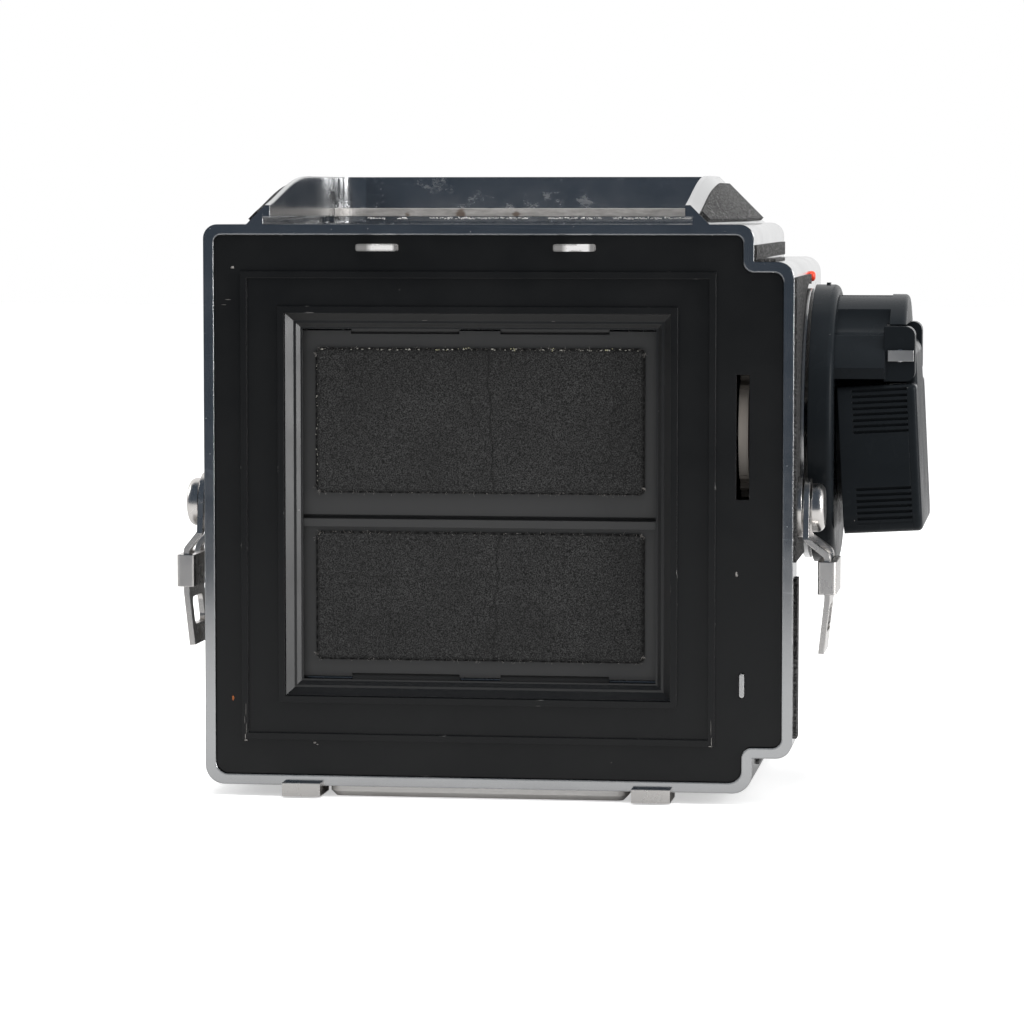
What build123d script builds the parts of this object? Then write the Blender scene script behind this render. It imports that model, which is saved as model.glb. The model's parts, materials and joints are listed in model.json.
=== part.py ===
"""Medium format reflex camera body, seen in the photograph from behind.

Millimetres, +Z up. The lens side faces +Y, the rear plate faces -Y and the winding crank is
on +X. The origin is the middle of the tripod socket's mouth, on the underside of the foot plate.
"""

import os
from math import cos, pi, radians, sin, sqrt, tan

from build123d import *

os.makedirs("parts", exist_ok=True)

# Named clearances

SLIDE_FIT = 0.10  # between a guided piece and its guide, each side
RUNNING_FIT = 0.04  # radial, between a shaft and its bore
OPEN_GAP = 0.30  # between faces that pass each other without a guide
SINK = 0.20  # how far a raised form starts inside the form that it stands on

# Body casing

half_width = 42.75
depth = 64.0
foot_thickness = 1.8
casing_height = 87.25
wall = 1.6
bottom_radius = 3.0
top_radius = 2.2
corner_shrink = 0.6

rear_y = -depth / 2
front_y = depth / 2
casing_bottom = foot_thickness
casing_top = casing_bottom + casing_height

# Gear housing on the winder side

housing_out = 6.15
housing_radius = 2.5
housing_top = 83.4
housing_bottom = 35.7
rear_band_bottom = 7.3
rear_band_depth = 9.0
housing_x = half_width + housing_out

# Finder seat and its brow

seat_half_width = 32.2
rail_depth = 1.1
rail_height = 1.05
brow_edge = 0.8
brow_rear_rise = 2.95
brow_full_rise = 7.6
brow_rise_length = 34.0
brow_rise_power = 1.2
brow_draw_y = 10.0
brow_draw_in = 1.5
front_wall = 3.3
front_web = 6.0
seat_corner_radius = 4.6

# Optics and mirror box

optical_z = 45.8
flange_radius = 34.0
spigot_radius = flange_radius - 3.5
throat_radius = flange_radius - 5.5
box_half_width = 28.2
box_wall = 1.5
box_floor_z = 14.0
box_top_z = 82.5
plate_recess = 0.4
rear_plate_thickness = 1.6
front_plate_thickness = 3.4

plate_face_y = rear_y + plate_recess
plate_inner_y = plate_face_y + rear_plate_thickness
front_face_y = front_y - plate_recess
front_inner_y = front_face_y - front_plate_thickness
screen_y = (plate_inner_y + front_inner_y) / 2

# Rear opening and doors

outer_ridge = 36.95
outer_ridge_low = 8.95
outer_ridge_high = 81.8
inner_ridge = 30.1
ridge_width = 1.0
ridge_height = 0.5
opening_half = 27.6
opening_low = 18.3
opening_high = 72.9
door_split_z = 43.6
door_gap = 0.6
door_side_play = 0.15
door_thickness = 1.0
pad_thickness = 0.8
pad_half_width = opening_half - 1.8
pad_corner = 0.8
door_pin_radius = 0.8
door_knuckle_radius = 1.3

# Mirror

mirror_pivot_y = -24.5
mirror_pivot_z = 78.5
mirror_length = 52.0
mirror_half_width = 26.4
mirror_glass_thickness = 1.6
carrier_thickness = 0.9
mirror_pin_radius = 1.0
mirror_knuckle_radius = 1.8

# Focusing screen

screen_half = 28.5
screen_thickness = 1.6
screen_ledge = 1.6
catch_thickness = 1.0
catch_travel = 2.0
catch_half_width = 4.0

# Winder and gears

winder_y = -1.0
winder_z = 57.3
ring_radius = 21.5
ring_thickness = 0.9
collar_gap = 0.6
shaft_radius = 4.0
bush_wall = 3.0
collar_radius = 22.1
collar_width = 3.8
knob_radius = 20.6
knob_end_x = housing_x + 16.25
knob_band = 2.6
knob_recess_x = knob_end_x - 3.1
knob_rim_z = 73.4
knob_cut_rise = 7.8
flute_count = 10
flute_depth = 1.5
flute_radius = 5.2
flute_phase = 18.0
hub_radius = 12.4
hub_end_x = knob_recess_x - 0.5
gear_teeth = 21
gear_module = 0.88
gear_width = 3.2
gear_x = housing_x - wall - gear_width - 1.4
wheel_radius = 11.9
wheel_width = 1.5
wheel_x = half_width - 2.35
wheel_blank_angle = 34.0
magazine_shaft_radius = 2.5

gear_distance = gear_teeth * gear_module
magazine_y = winder_y - gear_distance
ring_x = housing_x + ring_thickness
collar_x = ring_x + collar_gap
knob_x = collar_x + 1.2
collar_end_x = collar_x + collar_width

# Folding crank

hinge_x = knob_end_x - 0.8
hinge_z = 68.7
crank_pin_radius = 1.0
crank_knuckle_radius = 2.3
crank_tongue_half = 11.7
crank_lean = 3.0
lug_width = 4.6
lug_round = 1.4
lug_rise = 4.5
lug_drop = 4.0
arm_thickness = 1.5
arm_start = 4.4
arm_offset = 0.8
grip_half_width = 17.0
grip_length = 10.75
grip_bottom_z = 41.2
grip_top_z = 64.3
grip_wall = 3.8
grip_ridge_count = 8
grip_ridge_pitch = 0.92
grip_ridge_inset = 2.2

arm_inner_x = hinge_x + arm_offset
grip_start_x = arm_inner_x - grip_length
grip_inner_half = grip_half_width - grip_wall

# Strap fittings

stud_y = -25.2
stud_z = 45.5
stud_neck_radius = 1.8
stud_head_radius = 3.75
washer_radius = 4.6
washer_thickness = 1.1
thin_washer = 0.3
stud_neck_length = 1.5
stud_head_height = 1.9
clip_sheet = 0.9
clip_bends = (2.1, 3.3)
clip_half_width = 4.6
clip_lower_half_width = 5.6
sleeve_height = 5.0
sleeve_wall = 0.7

# Lens mount, release and foot

flange_rise = 2.3
spigot_depth = 2.0
drive_shaft_x = 15.0
drive_shaft_z = 22.6
drive_shaft_radius = 3.0
release_x = half_width - 7.55
release_z = 14.2
release_radius = 3.5
release_collar_radius = 5.6
leather_thickness = 0.4
foot_half_width = 23.4
foot_rear_y = -30.5
foot_front_y = 27.0
socket_radius = 3.175
socket_depth = 6.4
socket_boss_radius = 8.0
screw_radius = 1.0
screw_head_radius = 1.9
screw_head_height = 0.6
screw_slot = 0.4
screw_slot_depth = 0.3
socket_roof = 1.6
foot_screw_x = 18.0
foot_screw_y = (-22.0, 19.0)
foot_chamfer = 0.8
foot_corner = 2.0
foot_screw_seat = 0.9
foot_screw_low = 0.1

# Accessory rail

rail_low_z = 20.0
rail_high_z = 30.0
rail_rear_y = -9.0
rail_front_y = 23.0
rail_stem = 0.6
rail_flange = 0.6
rail_stem_inset = 1.5
rail_groove = 1.8
rail_corner = 1.0
rail_screw_y = (-3.0, 17.0)
rail_middle_z = (rail_low_z + rail_high_z) / 2

foot_screws_at = [(x, y) for x in (-foot_screw_x, foot_screw_x) for y in foot_screw_y]
rail_screws_at = [(y, rail_middle_z) for y in rail_screw_y]


def rear_view(y):
    """Plane across the body at depth y, with X to the right and Z up; extrude by -t goes to +Y."""
    return Plane.XZ.offset(-y)


def side_view(x):
    """Plane at x with Y to the right and Z up; extrude by t goes to +X."""
    return Plane.YZ.offset(x)


def top_view(z):
    """Plane at height z, with X to the right and Y up the page."""
    return Plane.XY.offset(z)


def frame_rect(x_low, x_high, low, high):
    """A rectangle from its limits, inside a sketch."""
    with Locations(((x_low + x_high) / 2, (low + high) / 2)):
        Rectangle(x_high - x_low, high - low)


def slab(face, amount):
    """A face drawn out by an amount along its plane's normal, kept out of the part being built."""
    return extrude(face, amount=amount, mode=Mode.PRIVATE)


def save(built, name):
    """Label one finished sub-part and write it."""
    built.part.label = name
    export_step(built.part, f"parts/{name}.step")


def brow_rise(y):
    """Height of the brow above the deck at depth y: a quarter wave that flattens to the front."""
    share = min(max((y - rear_y) / brow_rise_length, 0.0), 1.0)
    return brow_rear_rise + (brow_full_rise - brow_rear_rise) * sin(share * pi / 2) ** brow_rise_power


def brow_section(y, side):
    """Section of one brow wall at depth y: upright inside, a narrow edge, a 45 degree bevel."""
    rise = brow_rise(y)
    crest = seat_half_width + brow_edge
    corners = [
        (side * seat_half_width, casing_top - SINK),
        (side * seat_half_width, casing_top + rise),
        (side * crest, casing_top + rise),
        (side * (crest + rise), casing_top),
        (side * (crest + rise), casing_top - SINK),
    ]
    with BuildSketch(rear_view(y), mode=Mode.PRIVATE) as section:
        with BuildLine():
            Polyline(*corners, close=True)
        make_face()
    return section.sketch


def brow_draw(y):
    """How far the brow's bevel is drawn in at depth y: a cubic that starts beyond the middle."""
    share = max((y - brow_draw_y) / (front_y - brow_draw_y), 0.0)
    return brow_draw_in * share**3


def brow_trim(y, side):
    """Section of what is cut from the brow at depth y: all that lies outside the drawn-in bevel."""
    crest = seat_half_width + brow_edge - brow_draw(y)
    top = casing_top + brow_full_rise
    corners = [
        (crest, top),
        (crest, top + brow_edge),
        (half_width, top + brow_edge),
        (half_width, casing_top),
        (crest + brow_full_rise, casing_top),
    ]
    with BuildSketch(rear_view(y), mode=Mode.PRIVATE) as section:
        with BuildLine():
            Polyline(*[(side * x, z) for x, z in corners], close=True)
        make_face()
    return section.sketch


def body_section(inset, y=rear_y):
    """The casing's main cross section at depth y, drawn in by inset."""
    with BuildSketch(rear_view(y), mode=Mode.PRIVATE) as section:
        reach = half_width - inset
        frame_rect(-reach, reach, casing_bottom + inset, casing_top - inset)
        fillet(section.vertices().group_by(Axis.Y)[0], radius=bottom_radius - inset * corner_shrink)
        fillet(section.vertices().group_by(Axis.Y)[-1], radius=top_radius - inset * corner_shrink)
    return section.sketch


def housing_section(inset, bottom, y=rear_y):
    """The gear housing's cross section at depth y, from its lower edge to its top."""
    with BuildSketch(rear_view(y), mode=Mode.PRIVATE) as section:
        root = half_width - wall - 1.0
        frame_rect(root, housing_x - inset, bottom + inset, housing_top - inset)
        fillet(section.vertices().group_by(Axis.X)[-1], radius=housing_radius - inset * corner_shrink)
    return section.sketch


def corner_fill(reach, y=rear_y):
    """The two fillings that round the plate's inner corners round the casing's sharp ones."""
    with BuildSketch(rear_view(y), mode=Mode.PRIVATE) as fill:
        for corner_z, way in ((housing_top, -1), (rear_band_bottom, 1)):
            with Locations((half_width - reach / 2, corner_z + way * reach / 2)):
                Rectangle(reach, reach)
            with Locations((half_width, corner_z)):
                Circle(reach, mode=Mode.SUBTRACT)
    return fill.sketch


# Outer shell

brow_stations = [rear_y + brow_rise_length * share / 5 for share in range(6)]
front_stations = [brow_draw_y + (front_y - brow_draw_y) * share / 6 for share in range(7)]

with BuildPart() as outer_shell:
    add(slab(body_section(0), -depth))
    add(slab(housing_section(0, rear_band_bottom), -rear_band_depth))
    add(slab(housing_section(0, housing_bottom), -depth))

    # Brow walls: the top edge rises towards the front and the bevel spreads with it
    for side in (-1, 1):
        loft([brow_section(station, side) for station in brow_stations])
        add(slab(brow_section(brow_stations[-1], side), brow_stations[-1] - front_y))

    # Front wall of the finder seat with its rounded inner corners
    with BuildSketch(top_view(casing_top - SINK)):
        frame_rect(-seat_half_width, seat_half_width, front_y - front_wall - front_web, front_y)
        with BuildSketch(top_view(casing_top - SINK), mode=Mode.SUBTRACT) as bay:
            frame_rect(-seat_half_width, seat_half_width, rear_y, front_y - front_wall)
            fillet(bay.vertices().group_by(Axis.Y)[-1], radius=seat_corner_radius)
    extrude(amount=brow_full_rise + SINK)
    for side in (-1, 1):
        sections = [brow_trim(station, side) for station in front_stations]
        add(loft(sections, ruled=True, mode=Mode.PRIVATE), mode=Mode.SUBTRACT)

    # Cavities
    add(slab(body_section(wall), -depth), mode=Mode.SUBTRACT)
    rear_pocket = slab(housing_section(wall, rear_band_bottom), wall - rear_band_depth)
    add(rear_pocket, mode=Mode.SUBTRACT)
    gear_pocket = slab(housing_section(wall, housing_bottom), wall - depth)
    add(gear_pocket, mode=Mode.SUBTRACT)
    add(slab(corner_fill(wall), rear_y - plate_inner_y), mode=Mode.SUBTRACT)

    # Deck opening over the screen, the two catch slots and the finder's rail grooves
    with BuildSketch(top_view(casing_top - wall)):
        with Locations((0, screen_y)):
            Rectangle(2 * (screen_half + OPEN_GAP), 2 * (screen_half + OPEN_GAP))
    extrude(amount=wall, mode=Mode.SUBTRACT)
    with BuildSketch(top_view(casing_top - wall)):
        Rectangle(2 * (seat_half_width + rail_depth), 2 * (catch_half_width + SLIDE_FIT))
    extrude(amount=wall, mode=Mode.SUBTRACT)
    with BuildSketch(rear_view(rear_y)):
        groove_half = seat_half_width + rail_depth
        frame_rect(-groove_half, groove_half, casing_top, casing_top + rail_height)
    extrude(amount=-(depth - front_wall - seat_corner_radius), mode=Mode.SUBTRACT)

    # Bores: winder bush, tripod boss, foot screws and strap studs
    with BuildSketch(side_view(housing_x - wall)):
        with Locations((winder_y, winder_z)):
            Circle(shaft_radius + bush_wall)
        with Locations((stud_y, stud_z)):
            Circle(stud_neck_radius)
    extrude(amount=wall, mode=Mode.SUBTRACT)
    with BuildSketch(side_view(-half_width)):
        with Locations((stud_y, stud_z)):
            Circle(stud_neck_radius)
        with Locations(*rail_screws_at):
            Circle(screw_radius)
    extrude(amount=wall, mode=Mode.SUBTRACT)
    with BuildSketch(top_view(casing_bottom)):
        Circle(socket_boss_radius)
        with Locations(*foot_screws_at):
            Circle(screw_radius)
    extrude(amount=wall, mode=Mode.SUBTRACT)
save(outer_shell, "outer_shell")

# Rear plate with its two square ridges, wheel slot and key slot

slot_x = wheel_x - 0.3
slot_width = 2.0
slot_low = 47.0
slot_high = 66.2
key_x = half_width - 1.65
key_low = 16.6
key_high = 20.3
key_width = 0.75
frame_width = inner_ridge - opening_half
frame_low = opening_low - frame_width
frame_high = opening_high + frame_width


def square_line(half, low, high):
    """A square line of the ridge's width with its outer edge at the given limits, in a sketch."""
    frame_rect(-half, half, low, high)
    with Locations((0, (low + high) / 2)):
        Rectangle(2 * (half - ridge_width), high - low - 2 * ridge_width, mode=Mode.SUBTRACT)


with BuildPart() as rear_plate:
    plate_edge = wall + SLIDE_FIT
    add(slab(body_section(plate_edge, plate_face_y), -rear_plate_thickness))
    side_leaf = housing_section(plate_edge, rear_band_bottom, plate_face_y)
    add(slab(side_leaf, -rear_plate_thickness))
    add(slab(corner_fill(plate_edge, plate_face_y), -rear_plate_thickness))
    with BuildSketch(rear_view(plate_face_y)):
        square_line(outer_ridge, outer_ridge_low, outer_ridge_high)
    extrude(amount=ridge_height)
    with BuildSketch(rear_view(plate_face_y)):
        square_line(inner_ridge + ridge_width, frame_low - ridge_width, frame_high + ridge_width)
    extrude(amount=ridge_height)
    with BuildSketch(rear_view(plate_face_y)):
        frame_rect(-inner_ridge, inner_ridge, frame_low, frame_high)
        frame_rect(slot_x, slot_x + slot_width, slot_low, slot_high)
        with Locations((key_x, (key_low + key_high) / 2)):
            SlotOverall(key_high - key_low + 2 * SLIDE_FIT, key_width + 2 * SLIDE_FIT, rotation=90)
    extrude(amount=-rear_plate_thickness, mode=Mode.SUBTRACT)
save(rear_plate, "rear_plate")


# Bevel frame round the film opening: a wide and a narrow 45 degree bevel with a tread between

wide_bevel = 1.2
bevel_tread = 0.4
narrow_bevel = 0.6
frame_face_y = plate_face_y + 0.1
frame_thickness = 2.2
frame_back_y = frame_face_y + frame_thickness
narrow_spread = frame_width - wide_bevel - bevel_tread
frame_bevels = ((0.0, frame_width, wide_bevel), (wide_bevel, narrow_spread, narrow_bevel))


def frame_mouth(y, spread):
    """The film opening at depth y, made larger all round by spread."""
    with BuildSketch(rear_view(y), mode=Mode.PRIVATE) as mouth:
        reach = opening_half + spread
        frame_rect(-reach, reach, opening_low - spread, opening_high + spread)
    return mouth.sketch


with BuildPart() as light_frame:
    seat = frame_width - SLIDE_FIT / 2
    add(slab(frame_mouth(frame_face_y, seat), -frame_thickness))
    add(slab(frame_mouth(frame_face_y, 0), -frame_thickness), mode=Mode.SUBTRACT)
    for drop, spread, width in frame_bevels:
        rim_y = frame_face_y + drop
        mouths = [frame_mouth(rim_y, spread), frame_mouth(rim_y + width, spread - width)]
        loft(mouths, ruled=True, mode=Mode.SUBTRACT)
save(light_frame, "light_frame")


# Doors: each is a plate with two knuckles on its outer edge and a felt pad on its rear face

pad_rear_y = -29.0
door_rear_y = pad_rear_y + pad_thickness
door_front_y = door_rear_y + door_thickness
door_pin_y = door_rear_y + door_knuckle_radius + 0.3
door_half_width = box_half_width - door_side_play
upper_pin_z = opening_high + 0.1
lower_pin_z = opening_low - 0.1
knuckle_start = 3.2
knuckle_end = 20.2
door_edge_gap = 0.4
knuckle_slot = 0.9
knuckle_slot_depth = 0.6
upper_pad_low = 47.3
upper_pad_high = 70.0
lower_pad_low = 21.2
lower_pad_high = 41.4


def door(pin_z, meeting_z, lip, overlap):
    """One door plate with its knuckles; it hangs between its pin and the middle of the opening.
    A lip stands on the rear face, and an overlap reaches past the other door's edge, inside it."""
    inward = 1 if meeting_z > pin_z else -1
    with BuildPart(mode=Mode.PRIVATE) as built:
        with BuildSketch(rear_view(door_rear_y)):
            low, high = sorted((pin_z + inward * door_edge_gap, meeting_z - inward * door_gap / 2))
            frame_rect(-door_half_width, door_half_width, low, high)
        extrude(amount=-door_thickness)
        with BuildSketch(rear_view(door_rear_y)):
            for side in (-1, 1):
                left, right = sorted((side * knuckle_start, side * knuckle_end))
                low, high = sorted((pin_z, pin_z + inward * knuckle_slot))
                frame_rect(left, right, low, high)
        extrude(amount=-knuckle_slot_depth, mode=Mode.SUBTRACT)
        for side in (-1, 1):
            with BuildSketch(side_view(min(side * knuckle_start, side * knuckle_end))):
                with Locations((door_pin_y, pin_z)):
                    Circle(door_knuckle_radius)
            extrude(amount=knuckle_end - knuckle_start)
        if lip:
            with BuildSketch(rear_view(door_rear_y)):
                edge = meeting_z - inward * door_gap / 2
                low, high = sorted((edge, edge - inward * lip))
                frame_rect(-door_half_width, door_half_width, low, high)
            extrude(amount=pad_thickness)
        if overlap:
            edge = meeting_z - inward * door_gap / 2
            low, high = sorted((edge - inward * overlap, edge + inward * (door_gap + overlap)))
            with BuildSketch(rear_view(door_front_y + SLIDE_FIT)):
                frame_rect(-door_half_width, door_half_width, low, high)
            extrude(amount=-overlap_thickness)
            low, high = sorted((edge - inward * overlap, edge))
            with BuildSketch(rear_view(door_front_y)):
                frame_rect(-door_half_width, door_half_width, low, high)
            extrude(amount=-SLIDE_FIT)
        with BuildSketch(side_view(-door_half_width)):
            with Locations((door_pin_y, pin_z)):
                Circle(door_pin_radius + RUNNING_FIT)
        extrude(amount=2 * door_half_width, mode=Mode.SUBTRACT)
    return built.part


def door_pad(low, high):
    """A felt pad on the rear face of a door."""
    with BuildPart(mode=Mode.PRIVATE) as built:
        with BuildSketch(rear_view(pad_rear_y)) as face:
            frame_rect(-pad_half_width, pad_half_width, low, high)
            fillet(face.vertices(), radius=pad_corner)
        extrude(amount=-pad_thickness)
    return built.part


lower_lip = 1.2
upper_overlap = 1.0
overlap_thickness = 0.6

with BuildPart() as upper_door:
    add(door(upper_pin_z, door_split_z, 0, upper_overlap))
save(upper_door, "upper_door")

with BuildPart() as upper_door_pad:
    add(door_pad(upper_pad_low, upper_pad_high))
save(upper_door_pad, "upper_door_pad")

with BuildPart() as lower_door:
    add(door(lower_pin_z, door_split_z, lower_lip, 0))
save(lower_door, "lower_door")

with BuildPart() as lower_door_pad:
    add(door_pad(lower_pad_low, lower_pad_high))
save(lower_door_pad, "lower_door_pad")

with BuildPart() as door_pins:
    with BuildSketch(side_view(-box_half_width - box_wall)):
        with Locations((door_pin_y, upper_pin_z), (door_pin_y, lower_pin_z)):
            Circle(door_pin_radius)
    extrude(amount=2 * (box_half_width + box_wall))
save(door_pins, "door_pins")


# Mirror box: walls, floor and rear flange; it carries the doors, the mirror and the front plate

flange_reach = 4.5
flange_thickness = 1.4

with BuildPart() as mirror_box:
    box_outer = box_half_width + box_wall
    with BuildSketch(rear_view(frame_back_y)):
        frame_rect(-box_outer, box_outer, box_floor_z - box_wall, box_top_z)
    extrude(amount=-(front_inner_y - frame_back_y))
    with BuildSketch(rear_view(plate_inner_y)):
        reach = inner_ridge + flange_reach
        frame_rect(-reach, reach, box_floor_z - box_wall, frame_high + 3.0)
    extrude(amount=-(frame_back_y - plate_inner_y + flange_thickness))
    frame_seat = slab(frame_mouth(plate_inner_y, frame_width), plate_inner_y - frame_back_y)
    add(frame_seat, mode=Mode.SUBTRACT)
    with BuildSketch(rear_view(plate_inner_y)):
        frame_rect(-box_half_width, box_half_width, box_floor_z, frame_high - 1.0)
    extrude(amount=-(front_inner_y - plate_inner_y), mode=Mode.SUBTRACT)
    with BuildSketch(rear_view(frame_back_y + flange_thickness)):
        frame_rect(-box_half_width, box_half_width, box_floor_z, box_top_z)
    extrude(amount=-(front_inner_y - frame_back_y), mode=Mode.SUBTRACT)
    with BuildSketch(side_view(-box_outer)):
        with Locations((door_pin_y, upper_pin_z), (door_pin_y, lower_pin_z)):
            Circle(door_pin_radius)
        with Locations((mirror_pivot_y, mirror_pivot_z)):
            Circle(mirror_pin_radius)
    extrude(amount=2 * box_outer, mode=Mode.SUBTRACT)
save(mirror_box, "mirror_box")


# Mirror: a carrier plate on a pivot pin with the glass on its front face, resting at 45 degrees

mirror_plane = Plane(origin=(0, mirror_pivot_y, mirror_pivot_z), x_dir=(1, 0, 0), z_dir=(0, 1, 1))
mirror_start = 3.2
mirror_lip = 0.7
mirror_lip_height = 0.96
knuckle_width = 5.0

with BuildPart() as mirror_carrier:
    with BuildSketch(mirror_plane.offset(-mirror_glass_thickness)):
        frame_rect(-mirror_half_width, mirror_half_width, mirror_start, mirror_length)
        for side in (-1, 1):
            left, right = sorted((side * mirror_half_width, side * (mirror_half_width - knuckle_width)))
            frame_rect(left, right, 0, mirror_start)
    extrude(amount=-carrier_thickness)
    with BuildSketch(mirror_plane.offset(-mirror_glass_thickness)):
        frame_rect(-mirror_half_width, mirror_half_width, mirror_start, mirror_length)
        inner = mirror_half_width - mirror_lip
        with Locations((0, (mirror_start + mirror_length) / 2)):
            Rectangle(2 * inner, mirror_length - mirror_start - 2 * mirror_lip, mode=Mode.SUBTRACT)
    extrude(amount=mirror_lip_height)
    for side in (-1, 1):
        start_x = min(side * mirror_half_width, side * (mirror_half_width - knuckle_width))
        with BuildSketch(side_view(start_x)):
            with Locations((mirror_pivot_y, mirror_pivot_z)):
                Circle(mirror_knuckle_radius)
        extrude(amount=knuckle_width)
    with BuildSketch(side_view(-mirror_half_width)):
        with Locations((mirror_pivot_y, mirror_pivot_z)):
            Circle(mirror_pin_radius + RUNNING_FIT)
    extrude(amount=2 * mirror_half_width, mode=Mode.SUBTRACT)
save(mirror_carrier, "mirror_carrier")

with BuildPart() as mirror_glass:
    with BuildSketch(mirror_plane.offset(-mirror_glass_thickness)):
        with Locations((0, (mirror_start + mirror_length) / 2)):
            reach = mirror_half_width - mirror_lip - SLIDE_FIT
            Rectangle(2 * reach, mirror_length - mirror_start - 2 * (mirror_lip + SLIDE_FIT))
    extrude(amount=mirror_glass_thickness)
save(mirror_glass, "mirror_glass")

with BuildPart() as mirror_pin:
    with BuildSketch(side_view(-box_half_width - box_wall)):
        with Locations((mirror_pivot_y, mirror_pivot_z)):
            Circle(mirror_pin_radius)
    extrude(amount=2 * (box_half_width + box_wall))
save(mirror_pin, "mirror_pin")


# Focusing screen in its frame under the deck, with a sliding catch on either side

deck_under = casing_top - wall
screen_low_z = deck_under - screen_thickness - OPEN_GAP
frame_ring = 3.0

with BuildPart() as screen_frame:
    with BuildSketch(top_view(box_top_z)):
        with Locations((0, screen_y)):
            Rectangle(2 * (screen_half + frame_ring), front_inner_y - plate_inner_y - 2 * SLIDE_FIT)
            Rectangle(2 * (screen_half - screen_ledge), 2 * (screen_half - screen_ledge), mode=Mode.SUBTRACT)
    extrude(amount=deck_under - box_top_z)
    with BuildSketch(top_view(screen_low_z)):
        with Locations((0, screen_y)):
            Rectangle(2 * (screen_half + SLIDE_FIT), 2 * (screen_half + SLIDE_FIT))
    extrude(amount=deck_under - screen_low_z, mode=Mode.SUBTRACT)
save(screen_frame, "screen_frame")

with BuildPart() as focusing_screen:
    with BuildSketch(top_view(screen_low_z)):
        with Locations((0, screen_y)):
            Rectangle(2 * screen_half, 2 * screen_half)
    extrude(amount=screen_thickness)
save(focusing_screen, "focusing_screen")

catch_length = 4.1
catch_outer = seat_half_width + rail_depth - catch_travel - SLIDE_FIT
catch_inner = catch_outer - catch_length
catch_corner = 0.6
catch_grip_start = catch_inner + 0.6
catch_grip_end = catch_grip_start + 1.0
catch_grip_half = catch_half_width - 1.0
catch_grip_rise = 0.5

for side, name in ((-1, "screen_catch_left"), (1, "screen_catch_right")):
    with BuildPart() as screen_catch:
        with BuildSketch(top_view(deck_under)) as face:
            left, right = sorted((side * catch_inner, side * catch_outer))
            frame_rect(left, right, -catch_half_width, catch_half_width)
            fillet(face.vertices(), radius=catch_corner)
        extrude(amount=catch_thickness)
        with BuildSketch(top_view(deck_under + catch_thickness)):
            left, right = sorted((side * catch_grip_start, side * catch_grip_end))
            frame_rect(left, right, -catch_grip_half, catch_grip_half)
        extrude(amount=catch_grip_rise)
    save(screen_catch, name)


# Front plate with the throat opening, the mount ring's seat and the bores beside it

web_half = 26.5
web_low = 26.3
web_high = 73.0
web_corner = 6.0
catch_button_radius = 2.6
catch_x = half_width - wall - catch_button_radius - 0.75
catch_angle = 17.0
catch_z = optical_z - catch_x * tan(radians(catch_angle))
lock_pin_x = flange_radius - 2.2
lock_pin_radius = 1.0
plate_screw_high_x = half_width - 5.25
plate_screws = ((-24.0, 7.5), (24.0, 7.5), (-plate_screw_high_x, 83.0), (plate_screw_high_x, 83.0))
drive_bush_radius = 5.0

with BuildPart() as front_plate:
    add(slab(body_section(wall + SLIDE_FIT, front_inner_y), -front_plate_thickness))
    with BuildSketch(rear_view(front_face_y)):
        with Locations((0, optical_z)):
            Circle(spigot_radius)
    extrude(amount=spigot_depth, mode=Mode.SUBTRACT)
    with BuildSketch(rear_view(front_face_y)) as web:
        frame_rect(-web_half, web_half, web_low, web_high)
        fillet(web.vertices(), radius=web_corner)
        with Locations((drive_shaft_x, drive_shaft_z)):
            Circle(drive_shaft_radius + RUNNING_FIT)
        with Locations((catch_x, catch_z)):
            Circle(catch_button_radius + SLIDE_FIT)
        with Locations((lock_pin_x, optical_z)):
            Circle(lock_pin_radius + SLIDE_FIT)
        with Locations((release_x, release_z)):
            Circle(release_radius + SLIDE_FIT)
        with Locations(*plate_screws):
            Circle(screw_radius)
    extrude(amount=front_plate_thickness, mode=Mode.SUBTRACT)
save(front_plate, "front_plate")

with BuildPart() as front_plate_screws:
    with BuildSketch(rear_view(front_face_y)):
        with Locations(*plate_screws):
            Circle(screw_radius)
    extrude(amount=front_plate_thickness)
    with BuildSketch(rear_view(front_face_y + screw_head_height)):
        with Locations(*plate_screws):
            Circle(screw_head_radius)
    extrude(amount=screw_head_height)
    with BuildSketch(rear_view(front_face_y + screw_head_height)):
        with Locations(*plate_screws):
            Rectangle(2 * screw_head_radius, screw_slot)
    extrude(amount=screw_slot_depth, mode=Mode.SUBTRACT)
save(front_plate_screws, "front_plate_screws")


# Lens mount ring: a spigot in the front plate, a flange and three bayonet entry slots

mount_face_y = front_face_y + flange_rise
entry_slot_angle = 38.0
entry_slot_turns = (30, 150, 270)
entry_slot_depth = 1.4
entry_inner_radius = throat_radius - 1.0
entry_outer_radius = throat_radius + 1.2
ring_screw_radius = 0.8
ring_screw_circle = flange_radius - 1.8
ring_screw_angles = (20, 110, 200, 290)
ring_screw_slot = 0.3


def around_axis(radius, angle):
    """A place on a circle round the optical axis, as seen from the rear."""
    return radius * cos(radians(angle)), optical_z + radius * sin(radians(angle))


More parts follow.
